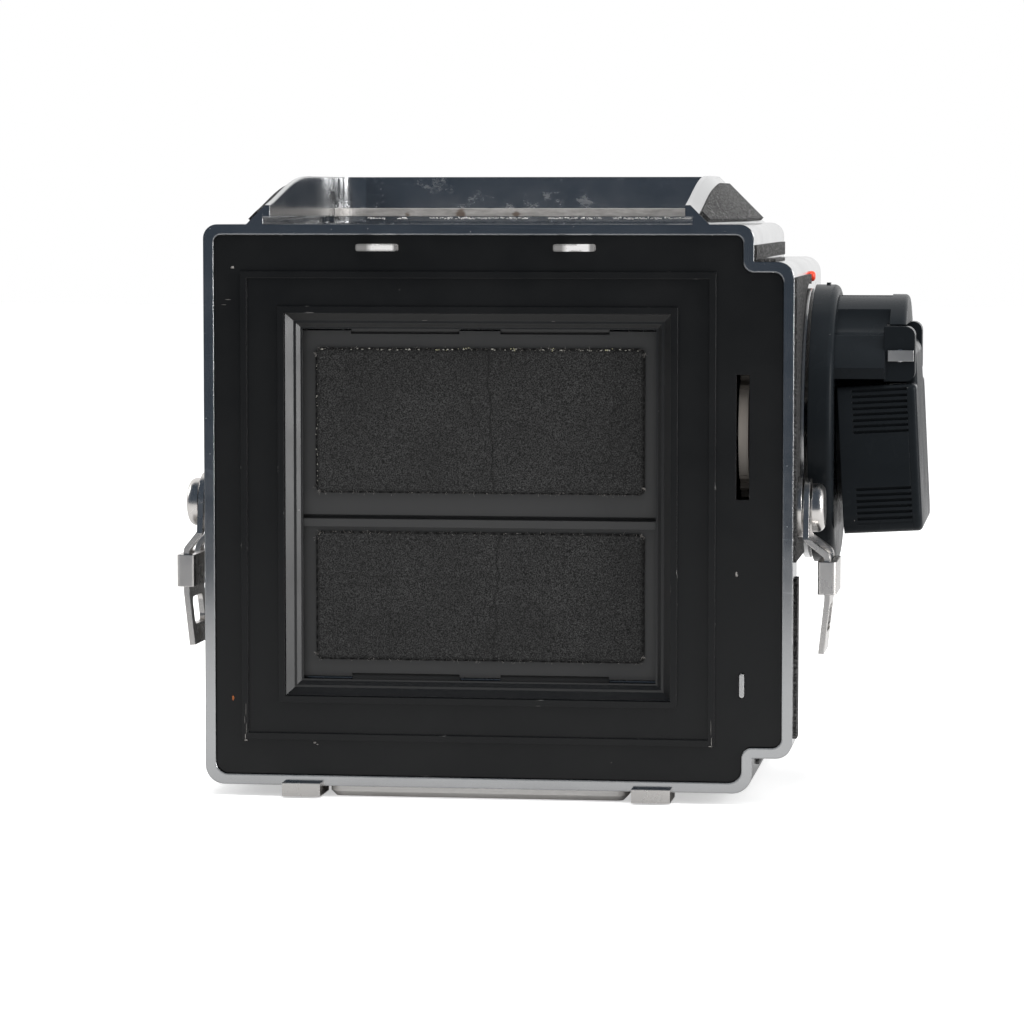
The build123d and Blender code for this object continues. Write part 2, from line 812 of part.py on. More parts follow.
with BuildPart() as lens_mount_ring:
    with BuildSketch(rear_view(mount_face_y)):
        with Locations((0, optical_z)):
            Circle(flange_radius)
            Circle(throat_radius, mode=Mode.SUBTRACT)
    extrude(amount=flange_rise)
    with BuildSketch(rear_view(front_face_y)):
        with Locations((0, optical_z)):
            Circle(spigot_radius)
            Circle(throat_radius, mode=Mode.SUBTRACT)
    extrude(amount=spigot_depth)
    with BuildSketch(rear_view(mount_face_y)):
        for turn in entry_slot_turns:
            with BuildLine():
                start = around_axis(entry_inner_radius, turn - entry_slot_angle / 2)
                rim_start = around_axis(entry_outer_radius, turn - entry_slot_angle / 2)
                rim_middle = around_axis(entry_outer_radius, turn)
                rim_end = around_axis(entry_outer_radius, turn + entry_slot_angle / 2)
                end = around_axis(entry_inner_radius, turn + entry_slot_angle / 2)
                Line(start, rim_start)
                ThreePointArc(rim_start, rim_middle, rim_end)
                Line(rim_end, end)
                Line(end, start)
            make_face()
    extrude(amount=entry_slot_depth, mode=Mode.SUBTRACT)
    with BuildSketch(rear_view(mount_face_y)):
        with Locations(*[around_axis(ring_screw_circle, angle) for angle in ring_screw_angles]):
            Circle(ring_screw_radius)
        with Locations((lock_pin_x, optical_z)):
            Circle(lock_pin_radius + SLIDE_FIT)
    extrude(amount=flange_rise, mode=Mode.SUBTRACT)
save(lens_mount_ring, "lens_mount_ring")

with BuildPart() as ring_screws:
    with BuildSketch(rear_view(mount_face_y)):
        with Locations(*[around_axis(ring_screw_circle, angle) for angle in ring_screw_angles]):
            Circle(ring_screw_radius)
    extrude(amount=flange_rise)
    with BuildSketch(rear_view(mount_face_y)):
        with Locations(*[around_axis(ring_screw_circle, angle) for angle in ring_screw_angles]):
            Rectangle(2 * ring_screw_radius, ring_screw_slot)
    extrude(amount=screw_slot_depth, mode=Mode.SUBTRACT)
save(ring_screws, "ring_screws")


# Lens catch: a button in the front plate whose foot carries the lock pin through the mount ring

catch_proud = 2.6
catch_foot = 1.0
catch_back_y = front_inner_y - 0.4
catch_edge_round = 0.6
catch_foot_half = 1.6
catch_foot_tip = 1.4
lock_pin_proud = 1.0

with BuildPart() as lens_catch_button:
    with BuildSketch(rear_view(catch_back_y)):
        with Locations((catch_x, catch_z)):
            Circle(catch_button_radius)
    extrude(amount=-(front_face_y + catch_proud - catch_back_y))
    fillet(lens_catch_button.edges().group_by(Axis.Y)[-1], radius=catch_edge_round)
    with BuildSketch(rear_view(catch_back_y)):
        with BuildLine():
            Polyline(
                (catch_x, catch_z - catch_foot_half),
                (catch_x, catch_z + catch_foot_half),
                (lock_pin_x + catch_foot_tip, optical_z + catch_foot_half),
                (lock_pin_x - catch_foot_tip, optical_z + catch_foot_half),
                (lock_pin_x - catch_foot_tip, optical_z - catch_foot_half),
                close=True,
            )
        make_face()
    extrude(amount=catch_foot)
    with BuildSketch(rear_view(catch_back_y)):
        with Locations((lock_pin_x, optical_z)):
            Circle(lock_pin_radius)
    extrude(amount=-(mount_face_y + lock_pin_proud - catch_back_y))
save(lens_catch_button, "lens_catch_button")


# Lens drive shaft with its screwdriver slot, turning in a bush behind the web

drive_shaft_length = 10.0
drive_collar_radius = 4.2
drive_collar_length = 4.0
drive_slot_width = 1.0
drive_slot_depth = 1.2
shaft_start_y = front_inner_y - drive_shaft_length
shaft_tip_y = front_inner_y + 1.2

with BuildPart() as lens_drive_bush:
    with BuildSketch(rear_view(shaft_start_y + drive_collar_length)):
        with Locations((drive_shaft_x, drive_shaft_z)):
            Circle(drive_bush_radius)
            Circle(drive_shaft_radius + RUNNING_FIT, mode=Mode.SUBTRACT)
    extrude(amount=-(drive_shaft_length - drive_collar_length))
save(lens_drive_bush, "lens_drive_bush")

with BuildPart() as lens_drive_shaft:
    with BuildSketch(rear_view(shaft_start_y)):
        with Locations((drive_shaft_x, drive_shaft_z)):
            Circle(drive_shaft_radius)
    extrude(amount=-(shaft_tip_y - shaft_start_y))
    with BuildSketch(rear_view(shaft_start_y)):
        with Locations((drive_shaft_x, drive_shaft_z)):
            Circle(drive_collar_radius)
    extrude(amount=-(drive_collar_length - OPEN_GAP))
    with BuildSketch(rear_view(shaft_tip_y)):
        with Locations((drive_shaft_x, drive_shaft_z)):
            Rectangle(2 * drive_shaft_radius, drive_slot_width)
    extrude(amount=drive_slot_depth, mode=Mode.SUBTRACT)
save(lens_drive_shaft, "lens_drive_shaft")


# Gear bracket on the mirror box, holding the inner ends of the two shafts

bracket_x = box_half_width + box_wall
bracket_thickness = 1.8
bracket_margin = 9.0
bracket_rear_y = magazine_y - 7.0
bracket_bore_x = bracket_x + 0.6
boss_length = 3.2
boss_wall = 2.2
inner_journal_radius = 2.4
inner_journal_x = bracket_x + 1.0

with BuildPart() as gear_bracket:
    with BuildSketch(side_view(bracket_x)) as base:
        reach = bracket_margin
        frame_rect(bracket_rear_y, winder_y + reach, winder_z - reach, winder_z + reach)
        fillet(base.vertices(), radius=bracket_margin / 3)
    extrude(amount=bracket_thickness)
    with BuildSketch(side_view(bracket_x + bracket_thickness)):
        with Locations((winder_y, winder_z), (magazine_y, winder_z)):
            Circle(inner_journal_radius + boss_wall)
    extrude(amount=boss_length)
    with BuildSketch(side_view(bracket_bore_x)):
        with Locations((winder_y, winder_z), (magazine_y, winder_z)):
            Circle(inner_journal_radius + RUNNING_FIT)
    extrude(amount=bracket_thickness + boss_length, mode=Mode.SUBTRACT)
save(gear_bracket, "gear_bracket")

boss_end_x = bracket_x + bracket_thickness + boss_length


# Gears: involute-like teeth as trapezoids round a blank

tooth_height = 0.85
tip_clearance = 0.15
root_share = 0.27
tip_share = 0.13
gear_pitch_radius = gear_distance / 2
gear_root_radius = gear_pitch_radius - tooth_height
gear_tip_radius = gear_pitch_radius + tooth_height - tip_clearance
magazine_shaft_end_x = gear_x + gear_width + 0.8


def toothed_disc(centre_y, x, root_radius, tip_radius, teeth, width, phase, skip=()):
    """A toothed wheel about an X axis; skip lists the tooth numbers that are left out."""
    step = 360.0 / teeth
    with BuildPart(mode=Mode.PRIVATE) as built:
        with BuildSketch(side_view(x)):
            with Locations((centre_y, winder_z)):
                Circle(root_radius)
            for tooth in range(teeth):
                if tooth in skip:
                    continue
                angle = phase + tooth * step
                corners = []
                for radius, turn in (
                    (root_radius - SINK, -root_share),
                    (tip_radius, -tip_share),
                    (tip_radius, tip_share),
                    (root_radius - SINK, root_share),
                ):
                    bearing = radians(angle + turn * step)
                    corners.append((centre_y + radius * cos(bearing), winder_z + radius * sin(bearing)))
                with BuildLine():
                    Polyline(*corners, close=True)
                make_face()
        extrude(amount=width)
    return built.part


with BuildPart() as winder_gear:
    root, tip = gear_root_radius, gear_tip_radius
    add(toothed_disc(winder_y, gear_x, root, tip, gear_teeth, gear_width, 0.0))
    with BuildSketch(side_view(gear_x)):
        with Locations((winder_y, winder_z)):
            Circle(shaft_radius)
    extrude(amount=gear_width, mode=Mode.SUBTRACT)
save(winder_gear, "winder_gear")

with BuildPart() as magazine_gear:
    root, tip = gear_root_radius, gear_tip_radius
    add(toothed_disc(magazine_y, gear_x, root, tip, gear_teeth, gear_width, 0.0))
    with BuildSketch(side_view(gear_x)):
        with Locations((magazine_y, winder_z)):
            Circle(magazine_shaft_radius)
    extrude(amount=gear_width, mode=Mode.SUBTRACT)
save(magazine_gear, "magazine_gear")

with BuildPart() as winder_shaft:
    with BuildSketch(side_view(boss_end_x + OPEN_GAP)):
        with Locations((winder_y, winder_z)):
            Circle(shaft_radius)
    extrude(amount=knob_x - boss_end_x - OPEN_GAP)
    with BuildSketch(side_view(inner_journal_x)):
        with Locations((winder_y, winder_z)):
            Circle(inner_journal_radius)
    extrude(amount=boss_end_x - bracket_x)
save(winder_shaft, "winder_shaft")

with BuildPart() as magazine_shaft:
    with BuildSketch(side_view(boss_end_x + OPEN_GAP)):
        with Locations((magazine_y, winder_z)):
            Circle(magazine_shaft_radius)
    extrude(amount=magazine_shaft_end_x - boss_end_x - OPEN_GAP)
    with BuildSketch(side_view(inner_journal_x)):
        with Locations((magazine_y, winder_z)):
            Circle(inner_journal_radius)
    extrude(amount=boss_end_x - bracket_x)
save(magazine_shaft, "magazine_shaft")

# Drive wheel behind the rear slot: teeth all round except a smooth sector that faces the rear

wheel_teeth = 30
wheel_tooth = 0.9
wheel_holes = 6
wheel_hole_radius = 1.5
wheel_hole_circle = wheel_radius * 0.55

with BuildPart() as magazine_wheel:
    blank = [
        tooth
        for tooth in range(wheel_teeth)
        if abs((tooth * 360.0 / wheel_teeth) - 180.0) < wheel_blank_angle
    ]
    root = wheel_radius - wheel_tooth
    add(toothed_disc(magazine_y, wheel_x, root, wheel_radius, wheel_teeth, wheel_width, 0.0, blank))
    with BuildSketch(side_view(wheel_x)):
        with BuildLine():
            edge = []
            for turn in (180 - wheel_blank_angle, 180, 180 + wheel_blank_angle):
                bearing = radians(turn)
                across = magazine_y + wheel_radius * cos(bearing)
                edge.append((across, winder_z + wheel_radius * sin(bearing)))
            ThreePointArc(*edge)
            Line(edge[2], (magazine_y, winder_z))
            Line((magazine_y, winder_z), edge[0])
        make_face()
    extrude(amount=wheel_width)
    with BuildSketch(side_view(wheel_x)):
        with Locations((magazine_y, winder_z)):
            Circle(magazine_shaft_radius)
            with PolarLocations(wheel_hole_circle, wheel_holes):
                Circle(wheel_hole_radius)
    extrude(amount=wheel_width, mode=Mode.SUBTRACT)
save(magazine_wheel, "magazine_wheel")


# Winder: bush and chrome ring on the housing, collar and knob outside

bush_radius = shaft_radius + bush_wall
bush_flange = 1.0
bush_flange_rim = 2.0
collar_round = 1.0
collar_tab_inset = 1.6
collar_tab_width = 2.2
collar_tab_height = 1.0
knob_round = 0.7

with BuildPart() as winder_bush:
    with BuildSketch(side_view(housing_x - wall)):
        with Locations((winder_y, winder_z)):
            Circle(bush_radius)
    extrude(amount=wall + ring_thickness)
    with BuildSketch(side_view(housing_x - wall)):
        with Locations((winder_y, winder_z)):
            Circle(bush_radius + bush_flange_rim)
    extrude(amount=-bush_flange)
    with BuildSketch(side_view(housing_x - wall - bush_flange)):
        with Locations((winder_y, winder_z)):
            Circle(shaft_radius + RUNNING_FIT)
    extrude(amount=wall + ring_thickness + bush_flange, mode=Mode.SUBTRACT)
save(winder_bush, "winder_bush")

with BuildPart() as winder_ring:
    with BuildSketch(side_view(housing_x)):
        with Locations((winder_y, winder_z)):
            Circle(ring_radius)
            Circle(bush_radius, mode=Mode.SUBTRACT)
    extrude(amount=ring_thickness)
save(winder_ring, "winder_ring")

with BuildPart() as knob_collar:
    with BuildSketch(side_view(collar_x)):
        with Locations((winder_y, winder_z)):
            Circle(collar_radius)
    extrude(amount=collar_width)
    fillet(knob_collar.edges().group_by(Axis.X)[-1], radius=collar_round)
    with BuildSketch(side_view(collar_x + collar_tab_inset)):
        with Locations((winder_y, winder_z + collar_radius - SINK)):
            Rectangle(collar_tab_width, collar_tab_height)
    extrude(amount=collar_width - 2 * collar_tab_inset)
    with BuildSketch(side_view(knob_x)):
        with Locations((winder_y, winder_z)):
            Circle(knob_radius)
    extrude(amount=collar_width, mode=Mode.SUBTRACT)
    with BuildSketch(side_view(collar_x)):
        with Locations((winder_y, winder_z)):
            Circle(shaft_radius)
    extrude(amount=collar_width, mode=Mode.SUBTRACT)
save(knob_collar, "knob_collar")

lug_inner_half = crank_tongue_half + OPEN_GAP
lug_outer_half = lug_inner_half + lug_width
lug_outer_x = hinge_x + crank_knuckle_radius

with BuildPart() as knob_body:
    with BuildSketch(side_view(knob_x)):
        with Locations((winder_y, winder_z)):
            Circle(knob_radius)
    extrude(amount=collar_end_x - knob_x)

    # Fluted crown over the upper part only; the folded grip fills the place below it
    with BuildSketch(side_view(collar_end_x)):
        with Locations((winder_y, winder_z)):
            Circle(knob_radius)
            flute_circle = knob_radius + flute_radius - flute_depth
            with PolarLocations(flute_circle, flute_count, start_angle=flute_phase):
                Circle(flute_radius, mode=Mode.SUBTRACT)
        with Locations((winder_y, winder_z + knob_cut_rise - knob_radius)):
            Rectangle(4 * knob_radius, 2 * knob_radius, mode=Mode.SUBTRACT)
    extrude(amount=knob_end_x - knob_band - collar_end_x)
    with BuildSketch(side_view(knob_end_x - knob_band)):
        with Locations((winder_y, winder_z)):
            Circle(knob_radius)
        with Locations((winder_y, winder_z + knob_cut_rise - knob_radius)):
            Rectangle(4 * knob_radius, 2 * knob_radius, mode=Mode.SUBTRACT)
    extrude(amount=knob_band)
    fillet(knob_body.edges().filter_by(Plane.YZ).group_by(Axis.X)[-1], radius=knob_round)
    with BuildSketch(side_view(knob_recess_x)):
        frame_rect(winder_y - knob_radius, winder_y + knob_radius, winder_z, knob_rim_z)
    extrude(amount=knob_end_x, mode=Mode.SUBTRACT)
    with BuildSketch(side_view(collar_end_x)):
        with Locations((winder_y, winder_z)):
            Circle(hub_radius)
    extrude(amount=hub_end_x - collar_end_x)

    # Two lugs for the crank's hinge, with the arm's knuckle between them
    for side in (-1, 1):
        with BuildSketch(rear_view(winder_y + min(side * lug_inner_half, side * lug_outer_half))) as lug:
            frame_rect(knob_recess_x - SINK, lug_outer_x, hinge_z - lug_drop, hinge_z + lug_rise)
            fillet(lug.vertices().group_by(Axis.X)[-1], radius=lug_round)
        extrude(amount=-lug_width)
    with BuildSketch(rear_view(winder_y - lug_outer_half)):
        with Locations((hinge_x, hinge_z)):
            Circle(crank_pin_radius)
    extrude(amount=-2 * lug_outer_half, mode=Mode.SUBTRACT)
save(knob_body, "knob_body")

with BuildPart() as crank_pin:
    with BuildSketch(rear_view(winder_y - lug_outer_half)):
        with Locations((hinge_x, hinge_z)):
            Circle(crank_pin_radius)
    extrude(amount=-2 * lug_outer_half)
save(crank_pin, "crank_pin")

band_width = 4.0
band_height = 1.7
band_thickness = 0.4
band_middle_x = lug_outer_x - band_width / 2 - 0.15

with BuildPart() as crank_bands:
    for side in (-1, 1):
        band_y = winder_y + side * lug_outer_half - (band_thickness if side < 0 else 0)
        with BuildSketch(rear_view(band_y)):
            with Locations((band_middle_x, hinge_z)):
                Rectangle(band_width, band_height)
        extrude(amount=-band_thickness)
save(crank_bands, "crank_bands")


# Crank arm: a wide knuckle between the lugs and a plate that hangs from it

crank_hinge = Axis((hinge_x, 0, hinge_z), (0, 1, 0))
plate_top_z = hinge_z - arm_start
web_start_x = hinge_x + 0.4
web_end_z = plate_top_z - 4.0
grip_rear_round = 3.0
grip_front_round = 1.0
arm_edge_round = 0.8

with BuildPart(mode=Mode.PRIVATE) as upright_arm:
    with BuildSketch(rear_view(winder_y - crank_tongue_half)):
        with Locations((hinge_x, hinge_z)):
            Circle(crank_knuckle_radius)
        frame_rect(web_start_x, hinge_x + crank_knuckle_radius, web_end_z, hinge_z)
        with Locations((hinge_x, hinge_z)):
            Circle(crank_pin_radius + RUNNING_FIT, mode=Mode.SUBTRACT)
    extrude(amount=-2 * crank_tongue_half)
    with BuildSketch(side_view(arm_inner_x)) as plate:
        frame_rect(winder_y - grip_half_width, winder_y + grip_half_width, grip_bottom_z, plate_top_z)
        fillet(plate.vertices().group_by(Axis.Y)[0], radius=grip_rear_round)
        fillet(plate.vertices().group_by(Axis.Y)[-1], radius=grip_front_round)
    extrude(amount=arm_thickness)
    fillet(upright_arm.edges().filter_by(Plane.YZ).group_by(Axis.X)[-1], radius=arm_edge_round)

with BuildPart() as crank_arm:
    add(upright_arm.part.rotate(crank_hinge, -crank_lean))
save(crank_arm, "crank_arm")


# Crank grip: a U-shaped block that hugs the hub, with two groups of grooves on its side faces

groove_depth = 0.45
groove_width = 0.4
upper_group_z = 57.1
lower_group_z = 41.75

with BuildPart(mode=Mode.PRIVATE) as upright_grip:
    with BuildSketch(side_view(grip_start_x)) as block:
        frame_rect(winder_y - grip_half_width, winder_y + grip_half_width, grip_bottom_z, grip_top_z)
        fillet(block.vertices().group_by(Axis.Y)[0], radius=grip_rear_round)
        fillet(block.vertices().group_by(Axis.Y)[-1], radius=grip_front_round)
        with Locations((winder_y, winder_z)):
            Circle(grip_inner_half, mode=Mode.SUBTRACT)
        with Locations((winder_y, winder_z + knob_radius / 2)):
            Rectangle(2 * grip_inner_half, knob_radius, mode=Mode.SUBTRACT)
    extrude(amount=grip_length)
    for side in (-1, 1):
        face_y = winder_y + side * grip_half_width - (0 if side < 0 else groove_depth)
        with BuildSketch(rear_view(face_y)):
            for start_z in (lower_group_z, upper_group_z):
                for groove in range(grip_ridge_count):
                    groove_z = start_z + groove * grip_ridge_pitch
                    with Locations(((grip_start_x + grip_ridge_inset + arm_inner_x) / 2, groove_z)):
                        Rectangle(grip_length - grip_ridge_inset, groove_width)
        extrude(amount=-groove_depth, mode=Mode.SUBTRACT)

with BuildPart() as crank_grip:
    add(upright_grip.part.rotate(crank_hinge, -crank_lean))
save(crank_grip, "crank_grip")

dot_y = 4.5
dot_z = 80.6
dot_radius = 0.85
dot_rise = 0.9
dot_round = 0.6

with BuildPart() as index_dot:
    with BuildSketch(side_view(housing_x)):
        with Locations((dot_y, dot_z)):
            Circle(dot_radius)
    extrude(amount=dot_rise)
    fillet(index_dot.edges().group_by(Axis.X)[-1], radius=dot_round)
save(index_dot, "index_dot")


# Strap studs with their washers, and the two clips with their sliding sleeves

stud_root = 2.4
stud_root_radius = stud_neck_radius + 1.2
stud_rim_round = 1.2
stud_sides = ((-1, -half_width, thin_washer), (1, housing_x, washer_thickness))

with BuildPart() as strap_studs:
    for side, wall_x, washer_end in stud_sides:
        neck_end = washer_end + stud_neck_length
        head_end = neck_end + stud_head_height
        for radius, start, end in (
            (stud_neck_radius, -wall, neck_end),
            (stud_head_radius, neck_end, head_end),
            (stud_root_radius, -stud_root, -wall),
        ):
            begin, finish = sorted((wall_x + side * start, wall_x + side * end))
            with BuildSketch(side_view(begin)):
                with Locations((stud_y, stud_z)):
                    Circle(radius)
            extrude(amount=finish - begin)
    rims = strap_studs.edges().filter_by(GeomType.CIRCLE).group_by(Axis.X)
    fillet(rims[0] + rims[-1], radius=stud_rim_round)
save(strap_studs, "strap_studs")

with BuildPart() as strap_washers:
    for side, wall_x, washer_end in stud_sides:
        begin, finish = sorted((wall_x, wall_x + side * washer_end))
        with BuildSketch(side_view(begin)):
            with Locations((stud_y, stud_z)):
                Circle(washer_radius)
                Circle(stud_neck_radius, mode=Mode.SUBTRACT)
        extrude(amount=finish - begin)
save(strap_washers, "strap_washers")

# Side profile of a clip: distance from the wall and height, at the sheet's middle

clip_plate_gap = OPEN_GAP + clip_sheet / 2
clip_top_z = stud_z + clip_half_width
clip_bend_high = 41.0
clip_bend_low = 38.4
clip_body_low = 31.6
clip_tail_low = 23.4
clip_tail_turn = 0.9
clip_bend_radius = 0.9
clip_reach = 10.0
clip_foot_z = clip_tail_low - 0.5
clip_foot_round = 0.5
head_hole_radius = stud_head_radius + 0.25
head_hole_z = 40.6
key_neck_half = stud_neck_radius - 0.3
clip_slot_half = 3.8
clip_slot_height = 4.3
clip_slot_round = 1.0
clip_foot_bar = 3.1
slot_middle_z = clip_tail_low + clip_foot_bar + clip_slot_height / 2
sleeve_low = 32.6
sleeve_round = 0.7
sleeve_across = clip_sheet + 2 * (SLIDE_FIT + sleeve_wall) + 0.4


def clip_profile(side, wall_x, plate_out, body_out):
    """The bent sheet seen along Y; it stands plate_out from the wall above and body_out below."""
    stations = [
        (plate_out, clip_top_z),
        (plate_out, clip_bend_high),
        (body_out, clip_bend_low),
        (body_out, clip_body_low),
        (body_out - clip_tail_turn, clip_tail_low),
    ]
    points = [(wall_x + side * out, z) for out, z in stations]
    with BuildSketch(rear_view(stud_y - clip_lower_half_width), mode=Mode.PRIVATE) as profile:
        with BuildLine(mode=Mode.PRIVATE) as centre:
            FilletPolyline(*points, radius=clip_bend_radius)
        trace(centre.line, line_width=clip_sheet)
    return profile.sketch


def strap_clip(side, wall_x, plate_out, body_out):
    """A bent steel clip with a keyhole over the stud and a strap slot at its foot."""
    with BuildPart(mode=Mode.PRIVATE) as built:
        add(slab(clip_profile(side, wall_x, plate_out, body_out), -2 * clip_lower_half_width))
        with BuildSketch(side_view(wall_x - clip_reach)) as plan:
            with Locations((stud_y, stud_z)):
                Circle(clip_half_width)
            with BuildLine():
                Polyline(
                    (stud_y - clip_half_width, stud_z),
                    (stud_y + clip_half_width, stud_z),
                    (stud_y + clip_lower_half_width, clip_bend_high),
                    (stud_y + clip_lower_half_width, clip_foot_z),
                    (stud_y - clip_lower_half_width, clip_foot_z),
                    (stud_y - clip_lower_half_width, clip_bend_high),
                    close=True,
                )
            make_face()
            fillet(plan.vertices().group_by(Axis.Y)[0].sort_by(Axis.X)[:1], radius=clip_foot_round)
            with Locations((stud_y, stud_z)):
                Circle(stud_neck_radius + RUNNING_FIT, mode=Mode.SUBTRACT)
            with Locations((stud_y, head_hole_z)):
                Circle(head_hole_radius, mode=Mode.SUBTRACT)
            with Locations((stud_y, (stud_z + head_hole_z) / 2)):
                Rectangle(2 * key_neck_half, stud_z - head_hole_z, mode=Mode.SUBTRACT)
            with Locations((stud_y, slot_middle_z)):
                slot_width = 2 * clip_slot_half
                RectangleRounded(slot_width, clip_slot_height, clip_slot_round, mode=Mode.SUBTRACT)
        extrude(amount=2 * clip_reach, mode=Mode.INTERSECT)
    return built.part


def clip_sleeve(side, wall_x, body_out):
    """A short box that slides on the clip's straight part."""
    middle_x = wall_x + side * body_out
    with BuildPart(mode=Mode.PRIVATE) as built:
        with BuildSketch(top_view(sleeve_low)) as ring:
            with Locations((middle_x, stud_y)):
                outer_y = 2 * (clip_lower_half_width + SLIDE_FIT + sleeve_wall)
                RectangleRounded(sleeve_across, outer_y, sleeve_round)
                inner_y = 2 * (clip_lower_half_width + SLIDE_FIT)
                Rectangle(clip_sheet + 2 * SLIDE_FIT, inner_y, mode=Mode.SUBTRACT)
        extrude(amount=sleeve_height)
    return built.part


for (side, wall_x, washer_end), word, bend in zip(stud_sides, ("left", "right"), clip_bends):
    plate_out = washer_end + clip_plate_gap
    with BuildPart() as hanging_clip:
        add(strap_clip(side, wall_x, plate_out, plate_out + bend))
    save(hanging_clip, f"strap_clip_{word}")
    with BuildPart() as sliding_sleeve:
        add(clip_sleeve(side, wall_x, plate_out + bend))
    save(sliding_sleeve, f"clip_sleeve_{word}")


# Magazine hooks at the top, supports at the bottom, and the signal key

hook_x = 15.3
hook_z = 85.5
hook_width = 6.3
hook_height = 1.1
hook_round = 0.3
hook_reach = 2.0
support_x = 27.3
support_width = 6.0
support_low = 0.3
support_thickness = 1.5
support_reach = 1.9
support_lip = 0.6
support_front_y = rear_y + 6.0
key_rear_y = plate_face_y - 0.3
key_front_y = plate_inner_y + 2.7
key_head_y = plate_inner_y + 0.9
key_head_width = 2.4
key_head_margin = 0.8
key_head_thickness = 0.8

with BuildPart() as magazine_hooks:
    with BuildSketch(rear_view(rear_y - hook_reach)):
        with Locations((-hook_x, hook_z), (hook_x, hook_z)):
            RectangleRounded(hook_width, hook_height, hook_round)
    extrude(amount=-(hook_reach + plate_recess))
save(magazine_hooks, "magazine_hooks")

with BuildPart() as magazine_supports:
    for side in (-1, 1):
        left = side * support_x - support_width / 2
        with BuildSketch(side_view(left)):
            frame_rect(rear_y - support_reach, support_front_y, support_low, support_low + support_thickness)
            lip_top = casing_bottom + support_lip
            frame_rect(rear_y - support_reach, rear_y - SLIDE_FIT, support_low, lip_top)
        extrude(amount=support_width)
save(magazine_supports, "magazine_supports")

with BuildPart() as signal_key:
    with BuildSketch(rear_view(key_rear_y)):
        with Locations((key_x, (key_low + key_high) / 2)):
            SlotOverall(key_high - key_low, key_width, rotation=90)
    extrude(amount=-(key_front_y - key_rear_y))
    with BuildSketch(rear_view(key_head_y)):
        with Locations((key_x, (key_low + key_high) / 2)):
            Rectangle(key_head_width, key_high - key_low + 2 * key_head_margin)
    extrude(amount=-key_head_thickness)
save(signal_key, "signal_key")


# Release: collar on the front plate, sprung button and the time lever that turns round the collar

button_proud = 3.6
button_edge_round = 0.6
button_flange = 1.0
collar_proud = 2.0
collar_lip = 0.8
lever_play = 0.06
lever_taper = 0.6
lever_length = 10.5
lever_width = 3.6
lever_thickness = 1.2
lever_seat_radius = release_radius + SLIDE_FIT + 0.7
button_back = 3.6
cable_thread_radius = 1.4
cable_thread_depth = 5.0

with BuildPart() as release_collar:
    with BuildSketch(rear_view(front_face_y + collar_proud)):
        with Locations((release_x, release_z)):
            Circle(release_collar_radius)
            Circle(release_radius + SLIDE_FIT, mode=Mode.SUBTRACT)
    extrude(amount=collar_lip)
    with BuildSketch(rear_view(front_face_y + collar_proud - collar_lip)):
        with Locations((release_x, release_z)):
            Circle(lever_seat_radius)
            Circle(release_radius + SLIDE_FIT, mode=Mode.SUBTRACT)
    extrude(amount=collar_proud - collar_lip)
save(release_collar, "release_collar")

with BuildPart() as time_lever:
    with BuildSketch(rear_view(front_face_y + lever_thickness - lever_play)) as lever:
        with Locations((release_x, release_z)):
            Circle(release_collar_radius)
        with BuildLine():
            Polyline(
                (release_x, release_z - lever_width / 2),
                (release_x, release_z + lever_width / 2),
                (release_x - lever_length, release_z + lever_width / 2 - lever_taper),
                (release_x - lever_length, release_z - lever_width / 2 + lever_taper),
                close=True,
            )
        make_face()
        with Locations((release_x, release_z)):
            Circle(lever_seat_radius + RUNNING_FIT, mode=Mode.SUBTRACT)
    extrude(amount=lever_thickness - 2 * lever_play)
save(time_lever, "time_lever")

with BuildPart() as release_button:
    with BuildSketch(rear_view(front_face_y + button_proud)):
        with Locations((release_x, release_z)):
            Circle(release_radius)
    extrude(amount=button_proud + front_plate_thickness + button_back)
    rim = release_button.edges().filter_by(GeomType.CIRCLE).group_by(Axis.Y)[-1]
    fillet(rim, radius=button_edge_round)
    with BuildSketch(rear_view(front_face_y + button_proud)):
        with Locations((release_x, release_z)):
            Circle(cable_thread_radius)
    extrude(amount=cable_thread_depth, mode=Mode.SUBTRACT)
    with BuildSketch(rear_view(front_inner_y - OPEN_GAP)):
        with Locations((release_x, release_z)):
            Circle(release_radius + button_flange)
    extrude(amount=button_flange)
save(release_button, "release_button")


# Foot plate with the tripod socket in its boss, and its four screws

with BuildPart() as foot_plate:
    with BuildSketch(top_view(0)) as base:
        frame_rect(-foot_half_width, foot_half_width, foot_rear_y, foot_front_y)
        fillet(base.vertices(), radius=foot_corner)
    extrude(amount=foot_thickness)
    chamfer(foot_plate.edges().group_by(Axis.Z)[0], length=foot_chamfer)
    with BuildSketch(top_view(foot_thickness)):
        Circle(socket_boss_radius)
    extrude(amount=socket_depth + socket_roof - foot_thickness)
    with BuildSketch(top_view(0)):
        Circle(socket_radius)
    extrude(amount=socket_depth, mode=Mode.SUBTRACT)
    with BuildSketch(top_view(0)):
        with Locations(*foot_screws_at):
            Circle(screw_head_radius)
    extrude(amount=foot_screw_seat, mode=Mode.SUBTRACT)
    with BuildSketch(top_view(0)):
        with Locations(*foot_screws_at):
            Circle(screw_radius)
    extrude(amount=foot_thickness, mode=Mode.SUBTRACT)
save(foot_plate, "foot_plate")

with BuildPart() as foot_screws:
    with BuildSketch(top_view(foot_screw_seat)):
        with Locations(*foot_screws_at):
            Circle(screw_radius)
    extrude(amount=foot_thickness + wall - foot_screw_seat)
    with BuildSketch(top_view(foot_screw_low)):
        with Locations(*foot_screws_at):
            Circle(screw_head_radius)
    extrude(amount=foot_screw_seat - foot_screw_low)
    with BuildSketch(top_view(foot_screw_low)):
        with Locations(*foot_screws_at):
            Rectangle(2 * screw_head_radius, screw_slot)
    extrude(amount=screw_slot_depth, mode=Mode.SUBTRACT)
save(foot_screws, "foot_screws")


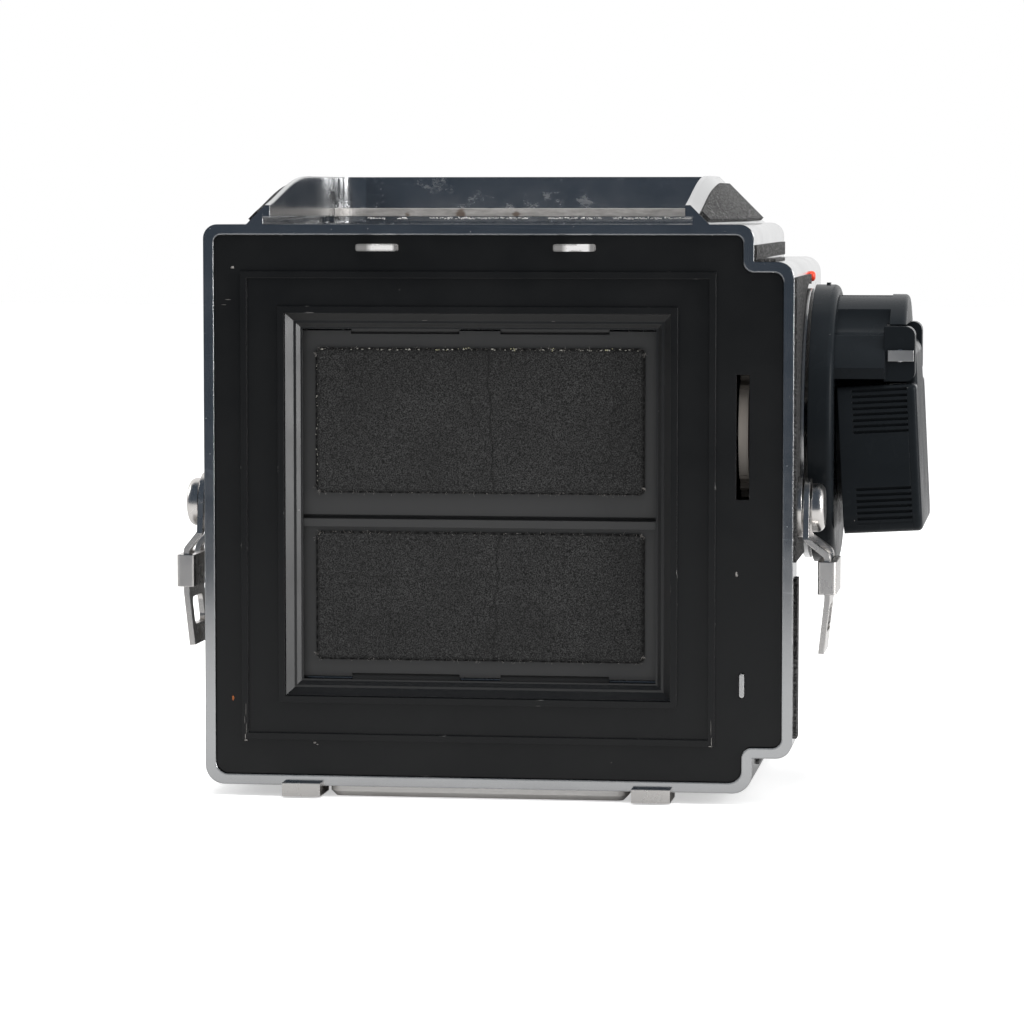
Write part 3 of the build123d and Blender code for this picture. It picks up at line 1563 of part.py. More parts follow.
# Accessory rail on the plain side, a T-section on two screws

with BuildPart() as accessory_rail:
    with BuildSketch(side_view(-half_width - rail_stem)):
        stem_rear_y = rail_rear_y + rail_stem_inset
        stem_front_y = rail_front_y - rail_stem_inset
        frame_rect(stem_rear_y, stem_front_y, rail_low_z + rail_groove, rail_high_z - rail_groove)
    extrude(amount=rail_stem)
    with BuildSketch(side_view(-half_width - rail_stem - rail_flange)) as plate:
        frame_rect(rail_rear_y, rail_front_y, rail_low_z, rail_high_z)
        fillet(plate.vertices(), radius=rail_corner)
    extrude(amount=rail_flange)
    with BuildSketch(side_view(-half_width - rail_stem - rail_flange)):
        with Locations(*rail_screws_at):
            Circle(screw_radius)
    extrude(amount=rail_stem + rail_flange, mode=Mode.SUBTRACT)
save(accessory_rail, "accessory_rail")

with BuildPart() as rail_screws:
    with BuildSketch(side_view(-half_width - rail_stem - rail_flange)):
        with Locations(*rail_screws_at):
            Circle(screw_radius)
    extrude(amount=rail_stem + rail_flange + wall)
    with BuildSketch(side_view(-half_width - rail_stem - rail_flange)):
        with Locations(*rail_screws_at):
            Rectangle(2 * (screw_radius + SINK), ring_screw_slot)
    extrude(amount=screw_slot_depth, mode=Mode.SUBTRACT)
save(rail_screws, "rail_screws")


# Leatherette panels and the blank name plate

name_half_width = 15.0
name_low = 90.6
name_height = 4.4
name_thickness = 0.6
name_corner = 0.8
name_edge_round = 0.2
panel_margin = 1.2
screw_margin = 0.4
release_panel_x = 22.0
release_panel_z = 25.0
bare_strip_x = -18.0
bare_strip_high_z = 10.0

with BuildPart() as name_plate:
    with BuildSketch(rear_view(front_y + name_thickness)):
        with Locations((0, name_low + name_height / 2)):
            RectangleRounded(2 * name_half_width, name_height, name_corner)
    extrude(amount=name_thickness)
    fillet(name_plate.edges().group_by(Axis.Y)[-1], radius=name_edge_round)
save(name_plate, "name_plate")

with BuildPart() as front_leather:
    panel = body_section(wall + panel_margin, front_face_y)
    add(slab(panel, -leather_thickness))
    with BuildSketch(rear_view(front_face_y)):
        with Locations((0, optical_z)):
            Circle(flange_radius + panel_margin)
        with Locations((catch_x, catch_z)):
            Circle(catch_button_radius + panel_margin)
        with Locations(*plate_screws):
            Circle(screw_head_radius + screw_margin)
        frame_rect(bare_strip_x, half_width, 0, bare_strip_high_z)
        frame_rect(release_panel_x, half_width, 0, release_panel_z)
    extrude(amount=-leather_thickness, mode=Mode.SUBTRACT)
save(front_leather, "front_leather")

side_panel_rear_y = rear_y + 0.5
left_panel_rear_y = rear_y + 4.0
crown_panel_front_y = 2.5
crown_panel_low_z = 68.0
washer_hole = washer_radius + OPEN_GAP
side_panel_front_y = front_y - 3.0
side_panel_low_z = casing_bottom + 3.4
shoulder_high_z = 85.9
ledge_end_x = housing_x - 2.9
ledge_front_y = -12.0
strip_half_width = 2.6
strip_front_y = stud_y + 1.6
strip_low_z = rear_band_bottom + 2.6
strip_high_z = housing_bottom - 1.0
housing_panel_low_z = housing_bottom + 1.8
housing_panel_high_z = housing_top - 2.4
wall_panel_rear_y = rear_y + rear_band_depth + OPEN_GAP
rail_gap = 0.6
leaf = leather_thickness

with BuildPart() as side_leather_left:
    with BuildSketch(side_view(-half_width - leaf)):
        frame_rect(left_panel_rear_y, side_panel_front_y, side_panel_low_z, shoulder_high_z)
        with Locations(((rail_rear_y + rail_front_y) / 2, rail_middle_z)):
            rail_length = rail_front_y - rail_rear_y + 2 * rail_gap
            Rectangle(rail_length, rail_high_z - rail_low_z + 2 * rail_gap, mode=Mode.SUBTRACT)
        with Locations((stud_y, stud_z)):
            Circle(washer_hole, mode=Mode.SUBTRACT)
    extrude(amount=leaf)
save(side_leather_left, "side_leather_left")

with BuildPart() as side_leather_right:
    # Shoulder above the gear housing: an upright strip and the ledge below it
    with BuildSketch(side_view(half_width)):
        frame_rect(side_panel_rear_y, side_panel_front_y, housing_top + leaf, shoulder_high_z)
    extrude(amount=leaf)
    with BuildSketch(top_view(housing_top)):
        frame_rect(half_width, ledge_end_x, side_panel_rear_y, ledge_front_y)
    extrude(amount=leaf)
    # Housing side round the winder ring, and the wall below the housing
    with BuildSketch(side_view(housing_x)):
        frame_rect(side_panel_rear_y, side_panel_front_y, housing_panel_low_z, housing_panel_high_z)
        with Locations((winder_y, winder_z)):
            Circle(collar_radius + OPEN_GAP, mode=Mode.SUBTRACT)
        with Locations((stud_y, stud_z)):
            Circle(washer_hole, mode=Mode.SUBTRACT)
        with BuildSketch(side_view(housing_x), mode=Mode.SUBTRACT):
            frame_rect(crown_panel_front_y, front_y, crown_panel_low_z, housing_top)
    extrude(amount=leaf)
    with BuildSketch(side_view(half_width)):
        frame_rect(wall_panel_rear_y, side_panel_front_y, side_panel_low_z, strip_high_z - OPEN_GAP)
    extrude(amount=leaf)
    with BuildSketch(side_view(housing_x)):
        frame_rect(stud_y - strip_half_width, strip_front_y, strip_low_z, strip_high_z)
    extrude(amount=leaf)
save(side_leather_right, "side_leather_right")

bevel_crest_margin = 2.0
bevel_foot_margin = 0.8
bevel_end_margin = 1.6


def bevel_patch(y, side):
    """Section of the leatherette on a brow bevel at depth y."""
    rise = brow_rise(y)
    crest = seat_half_width + brow_edge - brow_draw(y)
    high = bevel_crest_margin / sqrt(2)
    low = bevel_foot_margin / sqrt(2)
    lift = leather_thickness / sqrt(2)
    corners = [
        (crest + high, casing_top + rise - high),
        (crest + rise - low, casing_top + low),
        (crest + rise - low + lift, casing_top + low + lift),
        (crest + high + lift, casing_top + rise - high + lift),
    ]
    with BuildSketch(rear_view(y), mode=Mode.PRIVATE) as section:
        with BuildLine():
            Polyline(*[(side * x, z) for x, z in corners], close=True)
        make_face()
    return section.sketch


patch_ends = ((rear_y, rear_y + bevel_end_margin), (front_y - bevel_end_margin, front_y))

with BuildPart() as brow_leather:
    for side in (-1, 1):
        loft([bevel_patch(station, side) for station in brow_stations])
        straight_stations = brow_stations[-1:] + front_stations
        loft([bevel_patch(station, side) for station in straight_stations], ruled=True)
    for start_y, end_y in patch_ends:
        with BuildSketch(rear_view(start_y)):
            frame_rect(-half_width, half_width, casing_top, casing_top + brow_full_rise)
        extrude(amount=start_y - end_y, mode=Mode.SUBTRACT)
save(brow_leather, "brow_leather")
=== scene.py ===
# %% [markdown]
# The piece on the bench is the body of a modular single-lens reflex camera for
# 6 x 6 cm film, seen from behind with its film magazine taken off. What the
# photograph shows is mostly black: a satin rear plate, a frame of bevels round
# the film opening, and two felt-backed doors. Round the black there is a rim of
# satin chrome, and out of the right side stands the winding knob.
#
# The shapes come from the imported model, so this script is about looks. It loads
# that model as a fixed frame, sets a camera, a floor and lamps, and then gives
# each part its finish, adding the small pieces that a solid model leaves out.

# %% Loading the frame
import json
import math

import bpy
import numpy as np
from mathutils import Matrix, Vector

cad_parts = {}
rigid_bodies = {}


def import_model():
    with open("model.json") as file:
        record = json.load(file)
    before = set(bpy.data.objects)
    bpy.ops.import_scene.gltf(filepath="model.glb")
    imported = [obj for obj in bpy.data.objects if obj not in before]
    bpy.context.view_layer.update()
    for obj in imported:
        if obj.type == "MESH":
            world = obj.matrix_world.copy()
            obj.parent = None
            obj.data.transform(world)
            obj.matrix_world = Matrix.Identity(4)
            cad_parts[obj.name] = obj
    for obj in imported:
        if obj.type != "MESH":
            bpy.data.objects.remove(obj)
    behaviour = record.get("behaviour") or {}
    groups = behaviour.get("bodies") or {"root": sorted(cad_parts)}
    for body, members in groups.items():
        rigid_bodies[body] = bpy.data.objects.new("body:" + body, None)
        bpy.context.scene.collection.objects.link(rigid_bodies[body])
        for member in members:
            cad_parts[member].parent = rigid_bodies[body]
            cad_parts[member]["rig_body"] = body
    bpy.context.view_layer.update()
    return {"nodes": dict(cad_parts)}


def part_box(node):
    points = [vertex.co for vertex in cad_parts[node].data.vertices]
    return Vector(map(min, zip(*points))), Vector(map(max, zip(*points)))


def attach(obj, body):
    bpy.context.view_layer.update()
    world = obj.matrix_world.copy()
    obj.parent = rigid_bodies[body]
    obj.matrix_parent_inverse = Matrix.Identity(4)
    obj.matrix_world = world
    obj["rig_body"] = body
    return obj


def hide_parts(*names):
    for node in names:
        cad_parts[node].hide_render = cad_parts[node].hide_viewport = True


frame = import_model()
nodes = frame["nodes"]
mm = 0.001

# %% [markdown]
# A product photograph like this one is taken with a long lens, level with the
# middle of the object or a little above it. The lines that run away from us on
# the camera body all lead to one point, up and to the right of the picture, so
# the viewer stands to the right of the body and looks slightly down on it. The
# distance follows from how much smaller the front plate looks than the rear one.
# The camera is aimed rather than shifted, so other views keep a plain lens.

# %% Camera
camera_place = Vector((92.3, -665.0, 92.6)) * mm
camera_aim = Vector((5.57, -32.0, 44.86)) * mm
lens_length = 146.2


def aim(thing, place, target):
    """Puts a camera or lamp at a place and turns its -Z axis to the target, with Y up."""
    thing.location = place
    thing.rotation_mode = "QUATERNION"
    thing.rotation_quaternion = (target - place).to_track_quat("-Z", "Y")


camera = bpy.data.objects.new("camera", bpy.data.cameras.new("camera"))
bpy.context.scene.collection.objects.link(camera)
camera.data.lens = lens_length
camera.data.sensor_width = 36.0
camera.data.clip_start, camera.data.clip_end = 0.01, 20.0
aim(camera, camera_place, camera_aim)
bpy.context.scene.camera = camera
print("camera:", round((camera_place - camera_aim).length * 1000), "mm from its aim")

# %% [markdown]
# The photograph has no visible room: the floor runs on into plain white, and only
# a thin soft shadow says that the body stands on something. A Light Path node
# makes the floor white paper to the camera and a greyer board to the body, and
# the world plain white where it is seen or mirrored and weaker where it gives
# light. The lamps do the rest, and they are large and weak, because chrome shows
# the shape of every lamp. Behind the photographer the room is dark. The black
# plate and the upper rim mirror that darkness, so dark cards stand on that side,
# which only reflections can see. The lower rim mirrors the floor instead, and
# that is why it turns from dark to silver.

# %% Floor, dark cards and world
floor_half = 3.0
card_height = 0.9
card_above_back = 0.25
white = (1.0, 1.0, 1.0, 1.0)
card_glow = (0.056, 0.074, 0.100, 1.0)
floor_lift = 0.5
paper_tone, board_tone = 0.86, 0.56
world_level = 0.55


def flat_board(name, corners):
    """A flat four-cornered mesh from its corner points in metres, in order round it."""
    mesh = bpy.data.meshes.new(name)
    mesh.from_pydata([tuple(c) for c in corners], [], [(0, 1, 2, 3)])
    board = bpy.data.objects.new(name, mesh)
    bpy.context.scene.collection.objects.link(board)
    return board


floor = flat_board("floor", [(-floor_half, -floor_half, 0), (floor_half, -floor_half, 0),
                             (floor_half, floor_half, 0), (-floor_half, floor_half, 0)])
card_line = np.array([(-1200, 300), (-380, -340), (700, -340), (1500, 100)]) * mm
cards = []
for name, (x0, y0), (x1, y1) in zip(("dark_card_left", "dark_card_middle", "dark_card_right"),
                                    card_line[:-1], card_line[1:]):
    corners = [(x0, y0, 0.0), (x1, y1, 0.0), (x1, y1, card_height), (x0, y0, card_height)]
    cards.append(flat_board(name, corners))
(x0, y0), (x1, y1) = card_line.min(axis=0), (card_line[:, 0].max(), card_above_back)
cards.append(flat_board("dark_card_above", [(x0, y0, card_height), (x1, y0, card_height),
                                            (x1, y1, card_height), (x0, y1, card_height)]))
for card in cards:
    card.visible_camera = card.visible_diffuse = card.visible_shadow = card.visible_transmission = False


def start_material(name, metallic=0.0):
    """A material with its tree and its Principled shader."""
    material = bpy.data.materials.new(name)
    material.use_nodes = True
    shader = material.node_tree.nodes["Principled BSDF"]
    shader.inputs["Metallic"].default_value = metallic
    return material, material.node_tree, shader


def seen_directly(tree):
    """A value of 1 for camera, glossy and transmission rays and 0 for the rest, from the Light Path node."""
    path = tree.nodes.new("ShaderNodeLightPath")
    found = path.outputs["Is Camera Ray"]
    for kind in ("Is Glossy Ray", "Is Transmission Ray"):
        either = tree.nodes.new("ShaderNodeMath")
        either.operation = "MAXIMUM"
        tree.links.new(found, either.inputs[0])
        tree.links.new(path.outputs[kind], either.inputs[1])
        found = either.outputs[0]
    return found


floor_material, floor_tree, floor_shader = start_material("floor_white")
floor_shader.inputs["Roughness"].default_value = 0.9
by_camera = floor_tree.nodes.new("ShaderNodeLightPath").outputs["Is Camera Ray"]
lift = floor_tree.nodes.new("ShaderNodeMath")
lift.operation = "MULTIPLY"
floor_tree.links.new(by_camera, lift.inputs[0])
lift.inputs[1].default_value = floor_lift
floor_shader.inputs["Emission Color"].default_value = white
floor_tree.links.new(lift.outputs[0], floor_shader.inputs["Emission Strength"])
paper = floor_tree.nodes.new("ShaderNodeMapRange")
paper.inputs["To Min"].default_value = board_tone
paper.inputs["To Max"].default_value = paper_tone
floor_tree.links.new(by_camera, paper.inputs["Value"])
floor_tree.links.new(paper.outputs["Result"], floor_shader.inputs["Base Color"])
floor.data.materials.append(floor_material)
card_material, _, card_shader = start_material("card_dark")
card_shader.inputs["Base Color"].default_value = (0.0, 0.0, 0.0, 1.0)
card_shader.inputs["Roughness"].default_value = 1.0
card_shader.inputs["Emission Color"].default_value = card_glow
card_shader.inputs["Emission Strength"].default_value = 1.0
for card in cards:
    card.data.materials.append(card_material)

world = bpy.data.worlds.new("studio")
bpy.context.scene.world = world
world.use_nodes = True
sky = world.node_tree.nodes["Background"]
sky.inputs["Color"].default_value = white
level = world.node_tree.nodes.new("ShaderNodeMapRange")
level.inputs["To Min"].default_value = world_level
level.inputs["To Max"].default_value = 1.0
world.node_tree.links.new(seen_directly(world.node_tree), level.inputs["Value"])
world.node_tree.links.new(level.outputs["Result"], sky.inputs["Strength"])
bpy.context.scene.view_settings.view_transform = "Standard"
print("floor and world: plain white, with", len(cards), "dark cards")

# %% Lamps
def soft_lamp(name, place, size, power, mirrored=True):
    """An area lamp at a place, with its width and height, all in millimetres, and its power in watts."""
    lamp = bpy.data.objects.new(name, bpy.data.lights.new(name, "AREA"))
    lamp.data.shape = "RECTANGLE"
    lamp.data.size, lamp.data.size_y = size[0] * mm, size[1] * mm
    lamp.data.energy = power
    lamp.visible_glossy = mirrored
    bpy.context.scene.collection.objects.link(lamp)
    aim(lamp, Vector(place) * mm, lamp_target)
    return lamp


lamp_target = Vector((0, 0, 45)) * mm
soft_lamp("top_lamp", (80, -60, 800), (620, 620), 8.0, mirrored=False)
soft_lamp("right_lamp", (800, -185, 270), (260, 540), 5.0)
soft_lamp("left_lamp", (-850, 150, 420), (420, 420), 2.0)

# %% [markdown]
# A material is a tree of nodes, and most of the trees here are alike: a measure of
# position in millimetres, a pattern on it, and a shader. A few small functions
# keep each tree readable. Patterns that several finishes share, such as dust and
# fine scratches, are built once as node groups with named inputs.

# %% Helpers for node trees
def put(tree, kind, inputs=None, **settings):
    """Adds a shader node. A plain value in inputs is set on its socket, and a socket there is wired in."""
    node = tree.nodes.new("ShaderNode" + kind)
    for key, value in settings.items():
        setattr(node, key, value)
    for key, value in (inputs or {}).items():
        if isinstance(value, bpy.types.NodeSocket):
            tree.links.new(value, node.inputs[key])
        else:
            node.inputs[key].default_value = value
    return node


def maths(tree, operation, first, second=0.0, clamp=False):
    """The output of one Math node."""
    return put(tree, "Math", {0: first, 1: second}, operation=operation, use_clamp=clamp).outputs[0]


def remap(tree, value, low, high, to_low=0.0, to_high=1.0):
    """The value stretched so that low becomes to_low and high becomes to_high, and held there outside."""
    node = put(tree, "MapRange", {"Value": value, "From Min": low, "From Max": high,
                                  "To Min": to_low, "To Max": to_high})
    return node.outputs["Result"]


def blend_colour(tree, share, first, second):
    """Two colours mixed by a share from 0 to 1."""
    node = put(tree, "Mix", {0: share, 6: first, 7: second}, data_type="RGBA")
    return node.outputs[2]


def grey(value, warm=0.0):
    """A grey of that linear value, turned a little warm or, below zero, a little blue."""
    return (value * (1 + warm), value, value * (1 - warm), 1.0)


def place_mm(tree, stretch=(1, 1, 1), turn=(0, 0, 0)):
    """The shaded point in millimetres on the part, stretched and turned for a pattern with a direction."""
    here = put(tree, "TexCoord").outputs["Object"]
    node = put(tree, "Mapping", {"Vector": here, "Rotation": turn,
                                 "Scale": tuple(1000.0 * s for s in stretch)})
    return node.outputs["Vector"]


def noise(tree, vector, scale, detail=2.0, roughness=0.5):
    """Soft noise with scale lumps to the millimetre."""
    node = put(tree, "TexNoise", {"Vector": vector, "Scale": scale, "Detail": detail, "Roughness": roughness})
    return node.outputs[0]


def new_group(name, inputs, outputs):
    """An empty node group with named float inputs and named outputs, and its two ends."""
    group = bpy.data.node_groups.new(name, "ShaderNodeTree")
    for label, value in inputs.items():
        socket = group.interface.new_socket(label, in_out="INPUT", socket_type="NodeSocketFloat")
        socket.default_value = value
    for label in outputs:
        group.interface.new_socket(label, in_out="OUTPUT", socket_type="NodeSocketFloat")
    return group, group.nodes.new("NodeGroupInput").outputs, group.nodes.new("NodeGroupOutput").inputs


def use(tree, group, **values):
    """Places a group in a material with its own values. An underscore in a name stands for a space."""
    node = tree.nodes.new("ShaderNodeGroup")
    node.node_tree = group
    for label, value in values.items():
        socket = node.inputs[label.replace("_", " ")]
        if isinstance(value, bpy.types.NodeSocket):
            tree.links.new(value, socket)
        else:
            socket.default_value = value
    return node.outputs


# %% [markdown]
# Metal that has been carried in a bag for decades is brightest along its edges.
# A Bevel node asks what the surface normal would be if the edge were rounded.
# Where that differs from the true normal there is an edge, and noise breaks the
# line into worn stretches, so that no edge is worn evenly along its length. On the
# black knob the same lighter edges also stand for a painted highlight.

# %% Node group: worn edges, also a painted highlight
edge_inputs = {"Width": 0.3, "Patch Size": 3.0, "Amount": 0.5}
worn_and_highlight_edges, given, gives = new_group("worn_and_highlight_edges", edge_inputs, ["Mask"])
round_radius = maths(worn_and_highlight_edges, "MULTIPLY", given["Width"], mm)
rounded = put(worn_and_highlight_edges, "Bevel", {"Radius": round_radius}, samples=4).outputs["Normal"]
flat_normal = put(worn_and_highlight_edges, "NewGeometry").outputs["Normal"]
both_normals = {0: rounded, 1: flat_normal}
agreement = put(worn_and_highlight_edges, "VectorMath", both_normals, operation="DOT_PRODUCT").outputs["Value"]
edge_share = remap(worn_and_highlight_edges, agreement, 0.995, 0.86)
patch_scale = maths(worn_and_highlight_edges, "DIVIDE", 1.0, given["Patch Size"])
patches = noise(worn_and_highlight_edges, place_mm(worn_and_highlight_edges), patch_scale, 4.0, 0.65)
patch_start = maths(worn_and_highlight_edges, "SUBTRACT", 0.78, maths(worn_and_highlight_edges, "MULTIPLY", given["Amount"], 0.5))
over_start = maths(worn_and_highlight_edges, "SUBTRACT", patches, patch_start)
patch_share = maths(worn_and_highlight_edges, "MULTIPLY", over_start, 9.0, clamp=True)
worn_and_highlight_edges.links.new(maths(worn_and_highlight_edges, "MULTIPLY", edge_share, patch_share), gives["Mask"])

# %% Node group: dust specks
dust_specks, given, gives = new_group("dust_specks", {"Spacing": 2.0, "Size": 0.06, "Share": 0.5}, ["Mask"])
cells = put(dust_specks, "TexVoronoi", {"Vector": place_mm(dust_specks), "Randomness": 1.0,
                                        "Scale": maths(dust_specks, "DIVIDE", 1.0, given["Spacing"])})
cell_random = put(dust_specks, "SeparateColor", {"Color": cells.outputs["Color"]}).outputs
speck_size = maths(dust_specks, "DIVIDE", given["Size"], given["Spacing"])
speck_edge = maths(dust_specks, "MULTIPLY", speck_size, maths(dust_specks, "ADD", cell_random[0], 0.3))
in_speck = maths(dust_specks, "LESS_THAN", cells.outputs["Distance"], speck_edge)
has_speck = maths(dust_specks, "LESS_THAN", cell_random[1], given["Share"])
dust_specks.links.new(maths(dust_specks, "MULTIPLY", in_speck, has_speck), gives["Mask"])

# %% Node group: fine scratches
scratches, given, gives = new_group("fine_scratches", {"Density": 0.5, "Width": 0.05}, ["Mask"])
scratch_turns = ((0.35, 0.2, 0.9), (1.2, 0.7, 2.1), (0.1, 1.4, 0.4))
found = None
for turn in scratch_turns:
    stretched = place_mm(scratches, (0.05, 1.0, 1.0), turn)
    lines = put(scratches, "TexVoronoi", {"Vector": stretched, "Scale": 0.16}, feature="DISTANCE_TO_EDGE")
    line_width = maths(scratches, "MULTIPLY", given["Width"], 0.1)
    thin = maths(scratches, "LESS_THAN", lines.outputs["Distance"], line_width)
    keep = maths(scratches, "GREATER_THAN", noise(scratches, stretched, 0.35, 1.0),
                 maths(scratches, "SUBTRACT", 1.0, maths(scratches, "MULTIPLY", given["Density"], 0.6)))
    one = maths(scratches, "MULTIPLY", thin, keep)
    found = one if found is None else maths(scratches, "MAXIMUM", found, one)
scratches.links.new(found, gives["Mask"])

# %% Node group: grain of a satin metal
grain_inputs = {"Grain Size": 0.12, "Cloud Size": 9.0}
satin_grain, given, gives = new_group("satin_grain", grain_inputs, ["Height", "Cloud"])
grain_scale = maths(satin_grain, "DIVIDE", 1.0, given["Grain Size"])
satin_grain.links.new(noise(satin_grain, place_mm(satin_grain), grain_scale, 2.0, 0.7), gives["Height"])
cloud_scale = maths(satin_grain, "DIVIDE", 1.0, given["Cloud Size"])
clouds = noise(satin_grain, place_mm(satin_grain), cloud_scale, 3.0, 0.6)
satin_grain.links.new(remap(satin_grain, clouds, 0.3, 0.7), gives["Cloud"])
print("shared effects:", [g.name for g in bpy.data.node_groups])

# %% [markdown]
# Three families of finish cover the hard parts. Satin chrome is fully metallic,
# with a fine grain in its roughness. Black enamel and anodised black are not
# metallic, and bare metal comes through where an edge has worn. Plain machined
# steel and brass are metallic with coarser grain, and the pale hooks and foot
# plate lie between. One function makes them all, and each part gets its own
# values, because two neighbouring parts never match exactly.

# %% Function for hard finishes
smear_start, smear_full = 5.0, 15.0


def hard_finish(name, colour, roughness, metallic=0.0, grain=0.12, grain_depth=0.004, uneven=0.12,
                edge_radius=0.12, wear_and_highlight_colour=None, wear_and_highlight=0.0, wear_and_highlight_width=0.3, dust=0.0, scratch=0.0,
                dust_colour=(0.5, 0.48, 0.44, 1), specular=0.5, dust_spacing=2.0, smear=0.0):
    """A hard surface. Clouds vary its roughness by the share uneven, grain gives it a fine bump of
    grain_depth mm, and worn edges, scratches and dust are mixed in by their amounts. On the black
    knob the lighter edges are also a painted highlight. Dull smears lie only in front of
    y = smear_start, so that the rear rim stays clean."""
    material, tree, shader = start_material(name, metallic)
    shader.inputs["Specular IOR Level"].default_value = specular
    grains = use(tree, satin_grain, Grain_Size=grain)
    rough = remap(tree, grains["Cloud"], 0.0, 1.0, roughness * (1 - uneven), roughness * (1 + uneven))
    cloudy = tuple(c * (1 + 0.5 * uneven) for c in colour[:3]) + (1,)
    shade = blend_colour(tree, grains["Cloud"], colour, cloudy)
    if wear_and_highlight:
        wear_and_highlight_mask = use(tree, worn_and_highlight_edges, Width=wear_and_highlight_width, Amount=wear_and_highlight)["Mask"]
        shade = blend_colour(tree, wear_and_highlight_mask, shade, wear_and_highlight_colour)
        rough = maths(tree, "SUBTRACT", rough, maths(tree, "MULTIPLY", wear_and_highlight_mask, 0.3 * roughness))
    if scratch:
        scraped = use(tree, scratches, Density=scratch)["Mask"]
        shade = blend_colour(tree, maths(tree, "MULTIPLY", scraped, 0.35), shade, wear_and_highlight_colour or grey(0.6))
    if smear:
        bend = put(tree, "TexNoise", {"Vector": place_mm(tree), "Scale": 0.16, "Detail": 3.0})
        bent = put(tree, "VectorMath", {0: place_mm(tree, (0.6, 1.0, 1.0)), 1: bend.outputs["Color"]})
        wisps = remap(tree, noise(tree, bent.outputs[0], 0.33, 7.0, 0.74), 0.50, 0.74)
        depth = put(tree, "SeparateXYZ", {0: place_mm(tree)}).outputs[1]
        dull = maths(tree, "MULTIPLY", wisps, remap(tree, depth, smear_start, smear_full))
        shade = blend_colour(tree, maths(tree, "MULTIPLY", dull, smear), shade, grey(0.9))
        rough = maths(tree, "MAXIMUM", rough, maths(tree, "MULTIPLY", dull, 1.6 * smear))
    if dust:
        dusty = use(tree, dust_specks, Share=dust, Spacing=dust_spacing)["Mask"]
        shade = blend_colour(tree, maths(tree, "MULTIPLY", dusty, 0.8), shade, dust_colour)
        rough = maths(tree, "MAXIMUM", rough, maths(tree, "MULTIPLY", dusty, 0.8))
    rounded_edge = put(tree, "Bevel", {"Radius": edge_radius * mm}, samples=4).outputs["Normal"]
    bump = put(tree, "Bump", {"Height": grains["Height"], "Distance": grain_depth * mm, "Strength": 1.0,
                              "Normal": rounded_edge})
    tree.links.new(shade, shader.inputs["Base Color"])
    tree.links.new(rough, shader.inputs["Roughness"])
    tree.links.new(bump.outputs["Normal"], shader.inputs["Normal"])
    return material


def dress(material, *names):
    """Gives CAD nodes their finish, in the material slots that they came with."""
    for name in names:
        slots = nodes[name].material_slots
        for slot in slots:
            slot.material = material
        if not len(slots):
            nodes[name].data.materials.append(material)


# %% Hard finishes of the body
bare_metal = grey(0.42, 0.02)
satin_chrome = hard_finish(
    "satin_chrome", grey(0.44, -0.01), 0.15, metallic=1.0, grain=0.10, grain_depth=0.0012, uneven=0.25,
    edge_radius=0.35, wear_and_highlight_colour=grey(0.80), wear_and_highlight=0.35, wear_and_highlight_width=0.35, dust=0.35, scratch=0.55,
    dust_colour=grey(0.6), dust_spacing=0.8, smear=0.38)
plain_chrome = hard_finish(
    "plain_chrome", grey(0.64), 0.16, metallic=1.0, grain=0.3, grain_depth=0.001, uneven=0.15,
    edge_radius=0.15)
rear_enamel = hard_finish(
    "rear_enamel", grey(0.0072, -0.05), 0.34, grain=0.09, uneven=0.18, wear_and_highlight_colour=bare_metal, wear_and_highlight=0.26,
    wear_and_highlight_width=0.22, dust=0.16, scratch=0.25, specular=0.3)
bevel_black = hard_finish(
    "bevel_black", grey(0.008), 0.36, grain_depth=0.003, uneven=0.15, edge_radius=0.10,
    wear_and_highlight_colour=bare_metal, wear_and_highlight=0.05, wear_and_highlight_width=0.2, dust=0.10, scratch=0.1, specular=0.7)
chamber_black = hard_finish("chamber_black", grey(0.008), 0.62, grain=0.15, grain_depth=0.006)
door_black = hard_finish(
    "door_black", grey(0.041), 0.5, grain=0.10, edge_radius=0.10, wear_and_highlight_colour=bare_metal, wear_and_highlight=0.04,
    wear_and_highlight_width=0.15, dust=0.12, scratch=0.1)
bright_steel = hard_finish(
    "bright_steel", grey(0.56, 0.01), 0.27, metallic=1.0, grain=0.15, uneven=0.25, edge_radius=0.15,
    wear_and_highlight_colour=grey(0.75), wear_and_highlight=0.3, dust=0.1, scratch=0.3, dust_colour=grey(0.15))
warm_nickel = hard_finish(
    "warm_nickel", grey(0.60, 0.035), 0.27, metallic=1.0, grain=0.2, uneven=0.25, edge_radius=0.18,
    wear_and_highlight_colour=grey(0.82, 0.02), wear_and_highlight=0.3, wear_and_highlight_width=0.4, dust=0.12, scratch=0.3,
    dust_colour=grey(0.12, 0.1))
foot_aluminium = hard_finish(
    "foot_aluminium", grey(0.80, 0.03), 0.42, metallic=0.3, grain=0.2, grain_depth=0.008, uneven=0.2,
    edge_radius=0.15, wear_and_highlight_colour=grey(0.7), wear_and_highlight=0.25, dust=0.3, scratch=0.35, dust_colour=grey(0.2, 0.1))
ring_chrome = hard_finish(
    "ring_chrome", grey(0.62), 0.2, metallic=1.0, grain=0.2, grain_depth=0.002, uneven=0.2,
    edge_radius=0.15, wear_and_highlight_colour=grey(0.8), wear_and_highlight=0.2, dust=0.1, scratch=0.2, dust_colour=grey(0.1))
shaft_brass = hard_finish("shaft_brass", (0.62, 0.42, 0.16, 1), 0.3, metallic=1.0, grain=0.2)
# The knob's lighter edges are partly wear and partly a painted highlight along the edges of its grip and
# flutes.
knob_black = hard_finish(
    "knob_black", grey(0.0125, -0.16), 0.26, grain=0.4, grain_depth=0.001, uneven=0.3, edge_radius=0.25,
    wear_and_highlight_colour=grey(0.13), wear_and_highlight=0.22, wear_and_highlight_width=0.22, dust=0.3, scratch=0.25, specular=0.05)
red_enamel = hard_finish("red_enamel", (0.78, 0.055, 0.022, 1), 0.3, grain=0.3, grain_depth=0.002)

